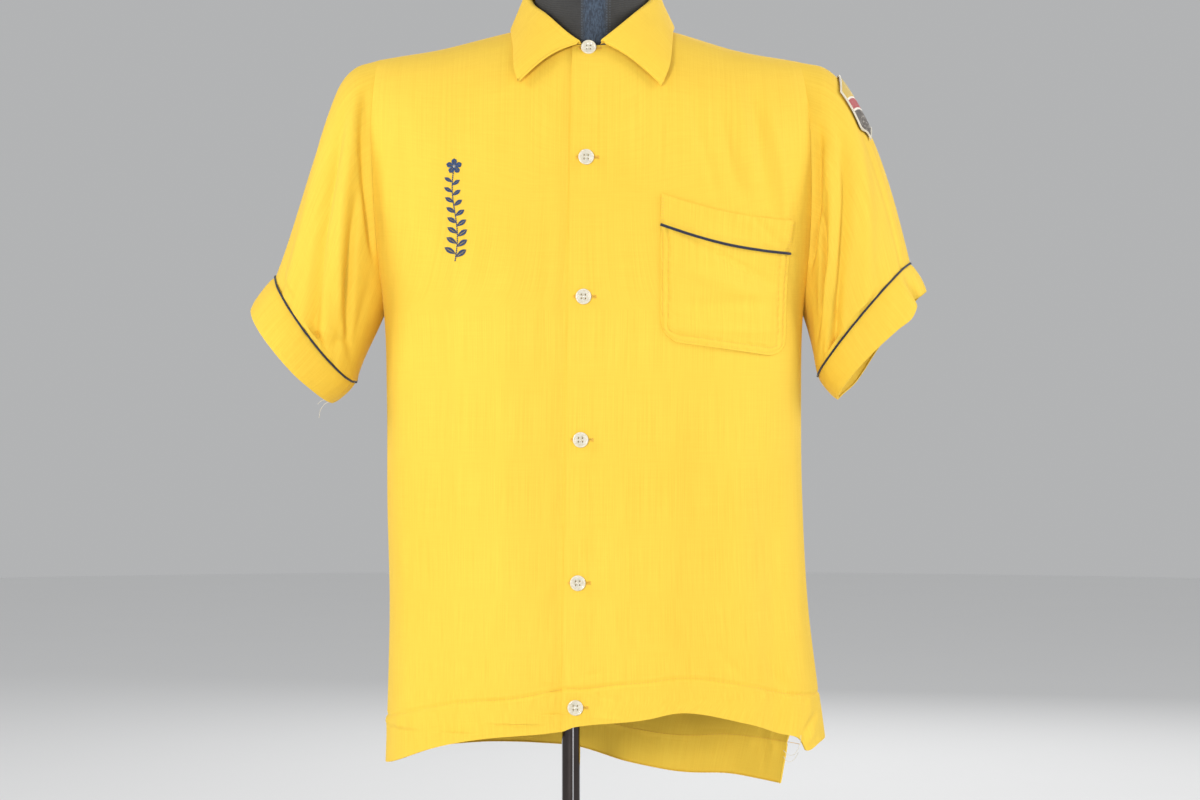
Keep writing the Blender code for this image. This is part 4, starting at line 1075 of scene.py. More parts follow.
@dataclass(frozen=True)
class WovenCloth:
    """Plain-woven cotton and rayon, dyed through, with slubby threads and soft small wrinkles."""

    name: str = "yellow_cloth_finish"
    colour: Triple = (0.85, 0.58, 0.062)
    deep_colour: Triple = (0.76, 0.46, 0.036)
    thread_pitch: float = 0.00042
    thread_height: float = 0.00006
    wrinkle_height: float = 0.0022
    roughness: float = 0.78
    sheen: float = 0.16
    sheen_tint: Triple = (1.0, 0.74, 0.28)

    def build(self) -> Material:
        """Make the material.

        Returns:
            The finished material.
        """
        recipe = Recipe(self.name)
        cloth = recipe.coordinates("UV")
        turn = tau / (2 * self.thread_pitch)
        warp, weft = ((recipe.part(cloth, axis) * turn).sine() for axis in "XY")
        over = (warp * weft).above(0.0, 1.2)
        weave = warp.size() * over + weft.size() * (1 - over)
        warp_slubs = recipe.noise(cloth, (1500.0, 14.0, 1.0), 3.0, 0.65)
        weft_slubs = recipe.noise(cloth, (22.0, 1500.0, 1.0), 3.0, 0.65)
        wrinkles = recipe.noise(recipe.solid, (38.0, 38.0, 19.0), 3.0)
        dye = recipe.noise(recipe.solid, 5.5)
        shade = (warp_slubs * 0.72 + weft_slubs * 0.28 - 0.5) * 2.4 + (dye - 0.5) * 0.6 + 0.3
        soft = recipe.bump(wrinkles, self.wrinkle_height, 0.5)
        slubs = recipe.bump(warp_slubs + weft_slubs, self.thread_height, 0.35, soft)
        return recipe.finish(
            Base_Color=recipe.mix(self.colour, self.deep_colour, shade.clamped()),
            Roughness=(dye - 0.5) * 0.12 + self.roughness,
            Normal=recipe.bump(weave, self.thread_height, 0.5, slubs),
            Sheen_Weight=self.sheen,
            Sheen_Roughness=0.45,
            Sheen_Tint=self.sheen_tint,
            Specular_IOR_Level=0.28,
        )


@dataclass(frozen=True)
class Thread:
    """Sewing and embroidery thread, twisted, with a silky gleam."""

    name: str
    colour: Triple
    light_colour: Triple
    roughness: float = 0.5
    twist: float = 3200.0

    def build(self) -> Material:
        """Make the material.

        Returns:
            The finished material.
        """
        recipe = Recipe(self.name)
        x, y, z = (recipe.part(recipe.solid, axis) for axis in "XYZ")
        twist = (x + z * 0.8 + y * 0.6).wave(self.twist)
        tone = recipe.noise(recipe.solid, 420.0)
        return recipe.finish(
            Base_Color=recipe.mix(self.colour, self.light_colour, twist * 0.35 + tone * 0.3),
            Roughness=tone * 0.2 + self.roughness - 0.1,
            Normal=recipe.bump(twist, 0.00012, 0.6),
            Sheen_Weight=0.15,
        )


@dataclass(frozen=True)
class PearlPlastic:
    """Cream shirt-button plastic with faint pearly clouds under a polished face."""

    name: str = "cream_button_finish"
    colour: Triple = (0.6, 0.54, 0.4)
    cloud_colour: Triple = (0.74, 0.7, 0.59)

    def build(self) -> Material:
        """Make the material.

        Returns:
            The finished material.
        """
        recipe = Recipe(self.name)
        clouds = recipe.noise(recipe.solid, (190.0, 190.0, 418.0), 4.0, 0.6)
        scuffs = recipe.noise(recipe.solid, 900.0, 3.0, 0.6)
        return recipe.finish(
            Base_Color=recipe.mix(self.colour, self.cloud_colour, clouds.above(0.5, 0.35)),
            Roughness=scuffs * 0.18 + 0.16,
            Normal=recipe.bump(scuffs, 0.00005, 0.4),
            Coat_Weight=0.4,
            Coat_Roughness=0.12,
            Subsurface_Weight=0.15,
            Subsurface_Radius=Vector((0.0012, 0.001, 0.0007)),
            Subsurface_Scale=1.0,
        )


@dataclass(frozen=True)
class KnitCover:
    """The dress form's cover: fine black knit with dotted rows of stitches up the front, and painted light: a
    speckled bluish highlight band up the front and paler mottled patches of sheen.
    """

    name: str = "form_cover_finish"
    black: Triple = (0.013, 0.0125, 0.012)
    grey: Triple = (0.045, 0.044, 0.042)
    # The next two colours are painted highlight: the band up the front and the glints speckled over it.
    band: Triple = (0.016, 0.026, 0.046)
    glint_colour: Triple = (0.055, 0.085, 0.13)
    stitch: Triple = (0.16, 0.2, 0.26)
    highlight_centre: float = NECK_CENTRE_X * MM + 0.0025
    highlight_half_width: float = 0.0113
    stitch_offsets: tuple[float, ...] = (-0.0122, 0.0122, 0.0152)

    def build(self) -> Material:
        """Make the material.

        Returns:
            The finished material.
        """
        recipe = Recipe(self.name)
        x, y, z = (recipe.part(recipe.solid, axis) for axis in "XYZ")
        across = x - self.highlight_centre
        ribs = (z + recipe.noise(recipe.solid, 60.0) * 0.004).wave(3600.0)
        cells = recipe.noise(recipe.solid, (700.0, 700.0, 260.0), 2.0, 0.6)
        # Paler mottled patches over the whole cover: painted sheen on the knit.
        sheen_mottle = recipe.noise(recipe.solid, 26.0, 3.0, 0.6).above(0.52, 0.4)
        # Only on the front: a painted highlight band up the middle, speckled with painted glints.
        front = 1 - y.above(-0.02, 0.01)
        in_highlight = (1 - across.size().above(self.highlight_half_width, 0.006)) * front
        black = recipe.mix(self.black, self.grey, ribs * 0.35 + sheen_mottle * 0.5)
        painted_highlight = recipe.mix(self.band, self.glint_colour, cells.above(0.52, 0.3))
        dots = (z * 2400.0).sine().above(0.0, 0.6) * front
        lines = [1 - (across - offset).size().above(0.0004, 0.0003) for offset in self.stitch_offsets]
        stitches = lines[0].most(lines[1]).most(lines[2]) * dots
        return recipe.finish(
            Base_Color=recipe.mix(recipe.mix(black, painted_highlight, in_highlight), self.stitch, stitches * 0.3),
            Roughness=cells * 0.2 + 0.62,
            Normal=recipe.bump(ribs * 0.6 + cells * 0.4, 0.0003, 0.5),
            Sheen_Weight=0.1,
            Sheen_Roughness=0.5,
        )


@dataclass(frozen=True)
class Chrome:
    """Polished chrome with faint hairlines and a breath of handling marks, and painted light: a pale painted
    reflection at grazing angles and a thin painted highlight line down the front.
    """

    name: str
    colour: Triple
    roughness: float
    painted_rim_colour: Triple
    highlight_line_at: float

    def build(self) -> Material:
        """Make the material.

        Returns:
            The finished material.
        """
        recipe = Recipe(self.name)
        x, y = (recipe.part(recipe.solid, axis) for axis in "XY")
        # The mask named seam is no seam: it is a thin painted highlight line down the front; the facing mask
        # paints a pale reflection at grazing angles.
        seam = (x - self.highlight_line_at).size() + y.above(-0.002, 0.001)
        facing = recipe.add("ShaderNodeLayerWeight", {}, {"Blend": 0.5}, "Facing")
        painted_shine = facing.above(0.66, 0.22).most((1 - seam.above(0.0005, 0.0005)) * 0.7)
        hairs = recipe.noise(recipe.solid, (1400.0, 1400.0, 12.0))
        marks = recipe.noise(recipe.solid, 18.0, 4.0, 0.6)
        dull = tuple(part * 0.72 for part in self.colour)
        tone = recipe.mix(self.colour, dull, marks.above(0.55, 0.5))
        return recipe.finish(
            Base_Color=recipe.mix(tone, self.painted_rim_colour, painted_shine),
            Metallic=1.0,
            Roughness=marks * 0.1 + hairs * 0.04 + self.roughness - 0.04,
            Normal=recipe.bump(hairs, 0.00002, 0.25),
        )


@dataclass(frozen=True)
class Twill:
    """The sleeve patch: embroidered fields and a chevron band on twill, laid out on the piece's UV map."""

    name: str = "patch_finish"
    width: float = 0.062
    length: float = 0.068
    gold: Triple = (0.62, 0.42, 0.05)
    brown: Triple = (0.045, 0.028, 0.018)
    cream: Triple = (0.85, 0.8, 0.68)
    red: Triple = (0.42, 0.03, 0.035)

    def build(self) -> Material:
        """Make the material: gold above, brown below with cream flecks, a cream-edged red chevron.

        Returns:
            The finished material.
        """
        recipe = Recipe(self.name)
        cloth = recipe.coordinates("UV")
        u, v = (recipe.part(cloth, axis) for axis in "XY")
        chevron = v - (u - self.width / 2).size() * 0.75
        middle = self.length * 0.47
        flecks = recipe.noise(cloth, (420.0, 300.0, 1.0), 1.0).above(0.66, 0.03)
        satin, fill = (u + v * 0.35).wave(9000.0), (v - u * 0.2).wave(7000.0)
        brown = recipe.mix(self.brown, self.cream, flecks * 0.8)
        field_colour = recipe.mix(brown, self.gold, chevron.above(middle, 0.0006))
        edged = recipe.mix(field_colour, self.cream, chevron.between(middle - 0.012, middle + 0.003, 0.0005))
        banded = recipe.mix(edged, self.red, chevron.between(middle - 0.0098, middle + 0.0008, 0.0005))
        worn = recipe.noise(recipe.solid, 160.0, 3.0)
        return recipe.finish(
            Base_Color=recipe.mix(banded, self.cream, worn.above(0.68, 0.12) * 0.3 + satin * 0.06),
            Roughness=worn * 0.2 + 0.62,
            Normal=recipe.bump(satin * 0.5 + fill * 0.5, 0.0002, 0.6),
            Sheen_Weight=0.2,
        )


@dataclass(frozen=True)
class StudioPaper:
    """The pale floor, which glows a little so that it stays even."""

    name: str = "studio_floor"
    colour: Triple = (0.56, 0.56, 0.56)
    glow_colour: Triple = (0.86, 0.87, 0.88)
    glow: float = 0.17

    def build(self) -> Material:
        """Make the material.

        Returns:
            The finished material.
        """
        recipe = Recipe(self.name)
        tone = recipe.noise(recipe.solid, 3.0, 3.0)
        darker = tuple(part * 0.985 for part in self.colour)
        return recipe.finish(
            Base_Color=recipe.mix(self.colour, darker, tone),
            Roughness=tone * 0.1 + 0.8,
            Emission_Color=self.glow_colour,
            Emission_Strength=self.glow,
        )


class Finishes:
    """Every material of the part, made once."""

    def __init__(self) -> None:
        """Build the materials."""
        self.cloth = WovenCloth().build()
        navy, light_navy = (0.006, 0.008, 0.022), (0.02, 0.026, 0.06)
        self.piping = Thread("navy_piping_finish", navy, light_navy, 0.75, 1500.0).build()
        self.yellow_thread = Thread("yellow_thread", (0.74, 0.38, 0.02), (0.92, 0.58, 0.08)).build()
        self.navy_thread = Thread("navy_thread", (0.01, 0.035, 0.11), (0.03, 0.09, 0.24)).build()
        self.cream_thread = Thread("cream_thread", (0.6, 0.55, 0.43), (0.78, 0.74, 0.62)).build()
        # Not thread: the dark strip laid in each buttonhole's slit, painted shade in the cut.
        self.shadow_thread = Thread("slit_shadow", (0.3, 0.15, 0.01), (0.42, 0.22, 0.02), 0.9).build()
        self.button = PearlPlastic().build()
        self.cover = KnitCover().build()
        # The pole's near-black metal colour is a painted reflection of a dark room in its middle; rim is the
        # pale painted reflection at its edges and along its highlight line.
        dark, rim = (0.06, 0.05, 0.048), (0.72, 0.72, 0.74)
        self.chrome = Chrome("chrome_pole_finish", dark, 0.05, rim, 0.0022).build()
        self.base = Chrome("chrome_base_finish", (0.42, 0.42, 0.43), 0.16, (0.6, 0.6, 0.62), 1.0).build()
        self.patch = Twill().build()
        self.floor = StudioPaper().build()


# ---- the shirt


class Needlework:
    """Stitches of one thread, collected in one mesh."""

    PITCH, STITCH_LENGTH = 2.5, 1.9

    def __init__(self) -> None:
        """Start with no stitch."""
        self.shape = bmesh.new()

    def stitch(self, start: Vector, end: Vector, radius: float, flat: float = 1.0) -> None:
        """Lay one spindle of thread of a half width, whose height is a share of its width."""
        along = end - start
        turn = along.to_track_quat("X", "Y").to_matrix().to_4x4()
        size = Matrix.Diagonal((along.length * 0.56 * MM, radius * flat * MM, radius * MM, 1.0))
        matrix = Matrix.Translation((start + end) / 2 * MM) @ turn @ size
        bmesh.ops.create_icosphere(self.shape, subdivisions=1, radius=1.0, matrix=matrix)

    def run(self, line: Line, length: float, radius: float = 0.24) -> None:
        """Lay a row of machine stitches along a line, given by share of the way, of a rough length."""
        count = max(2, round(length / self.PITCH))
        margin = (1 - self.STITCH_LENGTH / self.PITCH) / 2
        for i in range(count):
            self.stitch(line((i + margin) / count), line((i + 1 - margin) / count), radius)

    def finish(self, name: str, material: Material, slot: str) -> Object:
        """Make the stitches one object."""
        return Workshop.piece(name, self.shape, material, slot)


@dataclass
class ShirtBody:
    """Both fronts and the back, with their hems."""

    form: BodyForm
    finishes: Finishes
    columns: int = 112
    back_columns: int = 152
    ZONE_ROWS = {Zone.VENT: 34, Zone.HANG: 165, Zone.ARM: 34, Zone.CAP: 28}
    ROWS = sum(ZONE_ROWS.values())
    hang_crowding: float = 1.5
    hem_height: float = 380.0
    front_cut: Cut = Cut(0.30, 0.73, columns + 2, ROWS + 2, 0.175)
    back_cut: Cut = Cut(0.56, 0.79, back_columns + 2, ROWS + 2, 0.375)
    HEM_RUNS = {
        (R, F): (-0.08, 0.985, 190.0),
        (L, F): (-0.12, 0.985, 240.0),
        (R, B): (0.0, 0.88, 200.0),
        (L, B): (0.0, 0.80, 200.0),
    }

    def __post_init__(self) -> None:
        """Sew the body's panels on their form."""
        rows = [
            (zone, (i / count) ** (self.hang_crowding if zone is Zone.HANG else 1.0))
            for zone, count in self.ZONE_ROWS.items()
            for i in range(count)
        ]
        self.rows = [*rows, (Zone.CAP, 1.0)]
        self.panels = {
            "front_right": self.front(R, underlap_edge),
            "front_left": self.front(L, placket_edge),
            "back": self.back(),
        }

    def outer(
        self, side: Side, face: Face, share: float, row: int, edge: Edge | None, turned: bool
    ) -> Vector:
        """A point of a panel's outer face, drawn in from its seams.

        Args:
            side: which half of the body.
            face: front or back.
            share: share of the way from the centre edge to the side.
            row: the row.
            edge: X of the centre edge by height, or None.
            turned: whether it is on an edge that is turned in.

        Returns:
            The point in millimetres.
        """
        zone, zone_share = self.rows[row]
        spot = self.form.panel_spot(side, face, share, zone, zone_share, edge)
        lift = -SEAM_TURN if turned else 0.0
        if face is F:
            past_edge = self.form.point(side, face, spot, folds=False).x - placket_edge(spot.height)
            if side is R:
                lift -= UNDERLAP_DEPTH * ease(past_edge / UNDERLAP_RAMP + 1.3)
            else:
                lift += EDGE_ROLL * bump(past_edge, 1.0, 5.0)
        point = self.form.point(side, face, spot, lift)
        at_shoulder = row == self.ROWS and abs(point.x - CENTRE_X) > NECK_HALF_WIDTH - 1
        at_side = share == 1.0 and (zone in (Zone.VENT, Zone.HANG) or (zone, zone_share) == (Zone.ARM, 0.0))
        if at_shoulder or at_side:
            point.y += (SEAM_GAP / 2 + SEAM_EASE) * (1 if face is B else -1)
        return point

    def front(self, side: Side, edge: Edge) -> Sheet:
        """The front of a side, up to its closing edge."""

        def place(column: int, row: int) -> Vector:
            """A point of the front by column and row."""
            (inner, aside), (inner_row, above) = tucked(column, self.columns), tucked(row, self.ROWS)
            return self.outer(side, F, inner / self.columns, inner_row, edge, aside or above)

        return Sheet(f"front_{side.word}", self.front_cut, place, self.finishes.cloth, turned=side is R)

    def back(self) -> Sheet:
        """The back, one panel from armhole to armhole."""
        half = self.back_columns // 2

        def place(column: int, row: int) -> Vector:
            """A point of the back by column and row."""
            (inner, aside), (inner_row, above) = tucked(column, 2 * half), tucked(row, self.ROWS)
            side = L if inner > half else R
            return self.outer(side, B, abs(inner - half) / half, inner_row, None, aside or above)

        return Sheet("back", self.back_cut, place, self.finishes.cloth, turned=True)

    def hem_line(self, side: Side, face: Face, share: float, lift: float) -> Vector:
        """A point lifted off a hem's stitch line, by bearing as a share of the way to the side."""
        bearing = share * pi / 2
        z = self.hem_height
        for _ in range(3):
            x = self.form.point(side, face, Spot(bearing, z), folds=False).x
            z = self.form.hems[face].at(x) + HEM_BAND_HEIGHTS[face].at(x)
        return self.form.point(side, face, Spot(bearing, z), lift)

    def sew_hems(self) -> None:
        """Stitch the hems of all three panels; the back's shows inside as well."""
        work = {name: Needlework() for name in self.panels}
        for (side, face), (start, end, length) in self.HEM_RUNS.items():

            def line(share: float, lift: float = 0.12) -> Vector:
                """A point of the seam's line."""
                return self.hem_line(side, face, blend(start, end, share), lift)

            needle = work["back" if face is B else f"front_{side.word}"]
            needle.run(line, length)
            if face is B:
                needle.run(lambda share: line(share, -CLOTH - 0.12), length, 0.34)
        for name, needle in work.items():
            obj = needle.finish(f"hem_stitches_{name}", self.finishes.yellow_thread, "yellow_cloth")
            self.panels[name].trims.append(obj)


@dataclass
class ShirtSleeve:
    """One sleeve with its piping and its turned-up cuff."""

    form: SleeveForm
    finishes: Finishes
    columns: int = 168
    rows: int = 64
    cuff_rows: int = 18
    piping_steps: int = 150
    sleeve_cut: Cut = Cut(0.47, 0.19, columns, rows + 2, 0.075)
    cuff_cut: Cut = Cut(0.43, 0.036, columns, cuff_rows + 2)
    cuff_fold: float = 0.48

    def __post_init__(self) -> None:
        """Sew the sleeve and its cuff on their form, with the piping between them."""
        word, left, cloth = self.form.side.word, self.form.side is L, self.finishes.cloth
        self.sleeve = Sheet(f"sleeve_{word}", self.sleeve_cut, self.sleeve_place, cloth, CLOTH, True, left)
        self.cuff = Sheet(f"cuff_{word}", self.cuff_cut, self.cuff_place, cloth, TRIM_CLOTH, True, left)
        steps = self.piping_steps
        ring = [self.form.cuff(i / steps, 0.0, PIPING_DOWN, PIPING_LIFT) for i in range(steps)]
        piping = Workshop.cord(f"piping_{word}", ring, PIPING_DIAMETER, self.finishes.piping, True)
        self.cuff.trims.append(piping)

    def sleeve_place(self, column: int, row: int) -> Vector:
        """A point of the sleeve's grid, with both ends turned in."""
        inner, turned = tucked(row, self.rows)
        return self.form.point(column / self.columns, inner / self.rows, -SEAM_TURN if turned else 0.0)

    def cuff_place(self, column: int, row: int) -> Vector:
        """A point of the cuff's grid, with both ends rounded and turned in."""
        inner, turned = tucked(row, self.cuff_rows)
        lift = self.cuff_fold * (ease(inner / 2) + ease((self.cuff_rows - inner) / 2) - 2)
        lift -= SEAM_TURN if turned else 0.0
        return self.form.cuff(column / self.columns, inner / self.cuff_rows, CUFF_DOWN, lift)


@dataclass
class Collar:
    """The camp collar: a stand, a roll and two pointed leaves."""

    finishes: Finishes
    columns: int = 150
    stand_steps: int = 8
    roll_steps: int = 10
    fall_steps: int = 26
    roll_turn: float = radians(150)
    cut: Cut = Cut(0.45, 0.11, columns + 2, stand_steps + roll_steps + fall_steps + 1)

    def __post_init__(self) -> None:
        """Sew the collar."""
        neck = Vector((NECK_CENTRE_X, 0.0, 0.0))
        self.curves = Curve.columns({
            around: (*(Vector(line) + neck for line in lines), bow)
            for around, (*lines, bow) in COLLAR_ROWS.items()
        })
        profiles = []
        for column in range(self.columns + 3):
            inner, turned = tucked(column, self.columns)
            profiles.append(self.profile(2 * inner / self.columns - 1, turned))
        cloth = self.finishes.cloth
        self.sheet = Sheet("collar", self.cut, lambda c, r: profiles[c][r], cloth, TRIM_CLOTH, turned=True)

    def profile(self, around: float, turned: bool) -> list[Vector]:
        """The collar's section, from the foot of the stand over the roll to the turned edge.

        Args:
            around: share of the way round, from -1 to 1.
            turned: whether it is on an end that is turned in.

        Returns:
            Its points in millimetres.
        """
        stand, roll, edge, bow = (curve.at(around) for curve in self.curves)
        up, level_way = (roll - stand).normalized(), edge - roll
        radius = min(COLLAR_ROLL_RADIUS, (roll - stand).length * 0.45)
        outwards = (level_way - up * level_way.dot(up)).normalized()
        turn = roll - up * radius
        points = [blend(stand, turn, i / self.stand_steps) for i in range(self.stand_steps)]
        for i in range(self.roll_steps + 1):
            angle = self.roll_turn * i / self.roll_steps
            aside, above = radius * (1 - cos(angle)), radius * sin(angle)
            points.append(turn + outwards * aside + up * above)
        start = points[-1]
        fall = edge - start
        normal = (outwards - fall * (outwards.dot(fall) / fall.length_squared)).normalized()
        for i in range(1, self.fall_steps + 1):
            share = i / self.fall_steps
            lift = UP * (bow * sin(pi * share))
            wave = 0.55 * sin(around * 9.0 + share * 2.4) * sin(pi * share)
            wave += 0.6 * sin(around * 23.0 + 1.7 - share * 3.0) * share * (1 - share)
            points.append(blend(start, edge, share) + lift + normal * wave)
        points.append(points[-1] - normal * SEAM_TURN)
        return [point - normal * SEAM_TURN for point in points] if turned else points


@dataclass
class Pocket:
    """The breast pocket, the band across its mouth and the piping between them."""

    form: BodyForm
    finishes: Finishes
    columns: int = 96
    rows: int = 72
    band_rows: int = 20
    piping_steps: int = 90
    pocket_cut: Cut = Cut(0.127, 0.118, columns + 2, rows + 2)
    band_cut: Cut = Cut(0.127, 0.031, columns + 2, band_rows + 2)
    width: float = 124.0
    height: float = 108.0
    hem_in: float = 1.1
    stitch_insets: tuple[float, ...] = (2.2, 8.0)
    tacks: int = 9
    # Drag lines: depth, share up at the inner side, rise across, half width.
    DRAGS = (
        (-2.1, 0.3, 0.25, 0.07), (2.0, 0.72, -0.2, 0.08), (-2.0, 1.08, -0.42, 0.05), (1.4, 0.12, 0.12, 0.05),
    )

    def __post_init__(self) -> None:
        """Sew the pocket on the body's form."""
        cloth = self.finishes.cloth
        place, band_place = self.grid(self.at, self.rows), self.grid(self.band_at, self.band_rows)
        self.pocket = Sheet("pocket", self.pocket_cut, place, cloth, POCKET_WALL)
        self.band = Sheet("pocket_band", self.band_cut, band_place, cloth, POCKET_WALL)
        self.band.trims.append(self.piping())
        self.pocket.trims.append(self.stitches())

    def grid(self, at: Callable[[float, float, float], Vector], rows: int) -> Place:
        """The points of a grid of some rows on the pocket or its band, with its edges turned in."""

        def place(column: int, row: int) -> Vector:
            """A point of the piece by column and row."""
            (inner, aside), (inner_row, above) = tucked(column, self.columns), tucked(row, rows)
            lift = -self.hem_in if aside or above else 0.0
            return at(self.even_to_corner(inner / self.columns), inner_row / rows, lift)

        return place

    @staticmethod
    def corner_rounding(share: float, width: float) -> float:
        """How far the pocket's lower edge rises near its corners."""
        level = max(0.0, POCKET_CORNER_ROUND - min(share, 1 - share) * width)
        return POCKET_CORNER_ROUND - sqrt(POCKET_CORNER_ROUND**2 - level**2)

    @staticmethod
    def even_to_corner(share: float) -> float:
        """A share across that crowds towards both corners."""
        return share - 0.06 * sin(tau * share)

    def outline(self, corners: Corners, across: float, up: float) -> tuple[float, float]:
        """X and height of a point by share across and share up; the pocket's own foot is rounded."""
        top = [blend(corners.top_inner[i], corners.top_outer[i], across) for i in (0, 1)]
        bottom = [blend(corners.bottom_inner[i], corners.bottom_outer[i], across) for i in (0, 1)]
        sag = POCKET_MOUTH_SAG * sin(pi * across)
        width = corners.top_outer[0] - corners.top_inner[0]
        rise = self.corner_rounding(across, width) if corners is POCKET else -sag
        return blend(bottom[0], top[0], up), blend(bottom[1] + rise, top[1] - sag, up)

    def relief(self, across: float, up: float) -> float:
        """Bulge, soft wrinkles and seam puckers of the pocket."""
        arch = sin(pi * across)
        bulge = POCKET_BULGE * arch * sin(pi * (0.15 + 0.85 * up)) ** 0.5
        edge = min(across * self.width, (1 - across) * self.width, up * self.height)
        pucker = sin(across * 61.0 + up * 47.0 + 2.0 * sin(across * 17.0))
        pucker *= sin(across * 23.0 - up * 31.0)
        seam = bump(edge, 2.2, 1.4) * (-0.9 - 0.6 * pucker) + bump(edge, 8.0, 1.9) * (-1.0 - 0.7 * pucker)
        soft = 1.1 * sin(across * 5.0 + 1.0) * sin(up * 7.0 + across * 3.0)
        soft += sum(depth * bump(up, start + rise * across, half) for depth, start, rise, half in self.DRAGS)
        return bulge + seam + soft * arch * ease(edge / 14)

    def at(self, across: float, up: float, lift: float) -> Vector:
        """A point lifted off the pocket."""
        x, z = self.outline(POCKET, across, up)
        return self.form.front_at(x, z, POCKET_LIFT + POCKET_WALL + self.relief(across, up) + lift)

    def band_at(self, across: float, up: float, lift: float) -> Vector:
        """A point lifted off the band, which the piping's seam draws in a little along its foot."""
        x, z = self.outline(POCKET_BAND, across, up)
        pucker = sin(across * 71.0 + 2.0 * sin(across * 19.0))
        drawn = bump(up, 0.1, 0.07) * (-0.35 - 0.3 * pucker)
        drawn += 0.6 * sin(across * 9.0) * sin(pi * up)
        drawn += ease(2 * up - 1) - bump(across + 0.3 * up, 1.0, 0.05) + 0.3 * pucker * ease(up)
        return self.form.front_at(x, z, POCKET_LIFT + POCKET_WALL + BAND_LIFT + drawn + lift)

    def piping(self) -> Object:
        """The corded piping under the band."""
        line = []
        for i in range(self.piping_steps + 1):
            x, z = self.outline(POCKET_BAND, self.even_to_corner(i / self.piping_steps), MOUTH_PIPING_UP)
            line.append(self.form.front_at(x, z, POCKET_LIFT + POCKET_WALL + MOUTH_PIPING_LIFT))
        return Workshop.cord("pocket_piping", line, MOUTH_PIPING_DIAMETER, self.finishes.piping, False)

    def stitches(self) -> Object:
        """Two rows of stitches down the sides and along the bottom, and bar tacks at the mouth.

        Returns:
            The piece with all the stitches.
        """
        needle = Needlework()
        for inset in self.stitch_insets:
            aside, foot = inset / self.width, inset / self.height
            ends = (
                ((aside, 0.97), (aside, foot + 0.1), 88.0),
                ((aside, foot), (1 - aside, foot), 118.0),
                ((1 - aside, foot + 0.1), (1 - aside, 0.97), 88.0),
            )
            for (across, up), (last_across, last_up), length in ends:

                def line(share: float) -> Vector:
                    """A point of the row of stitches."""
                    return self.at(blend(across, last_across, share), blend(up, last_up, share), 0.12)

                needle.run(line, length)
        for across in (0.012, 0.988):
            for i in range(self.tacks):
                tack = (self.band_at(across + way, 0.05 + i * 0.1, 0.12) for way in (-0.012, 0.012))
                needle.stitch(*tack, 0.25)
        return needle.finish("pocket_stitches", self.finishes.yellow_thread, "yellow_cloth")


@dataclass(frozen=True)
class ButtonSizes:
    """A four-hole shirt button, in millimetres."""

    radius: float = 7.5
    thickness: float = 2.6
    hole_radius: float = 0.85
    hole_spacing: float = 3.6
    dish_radius: float = 5.3
    dish_depth: float = 0.75
    sides: int = 48
    hole_sides: int = 12


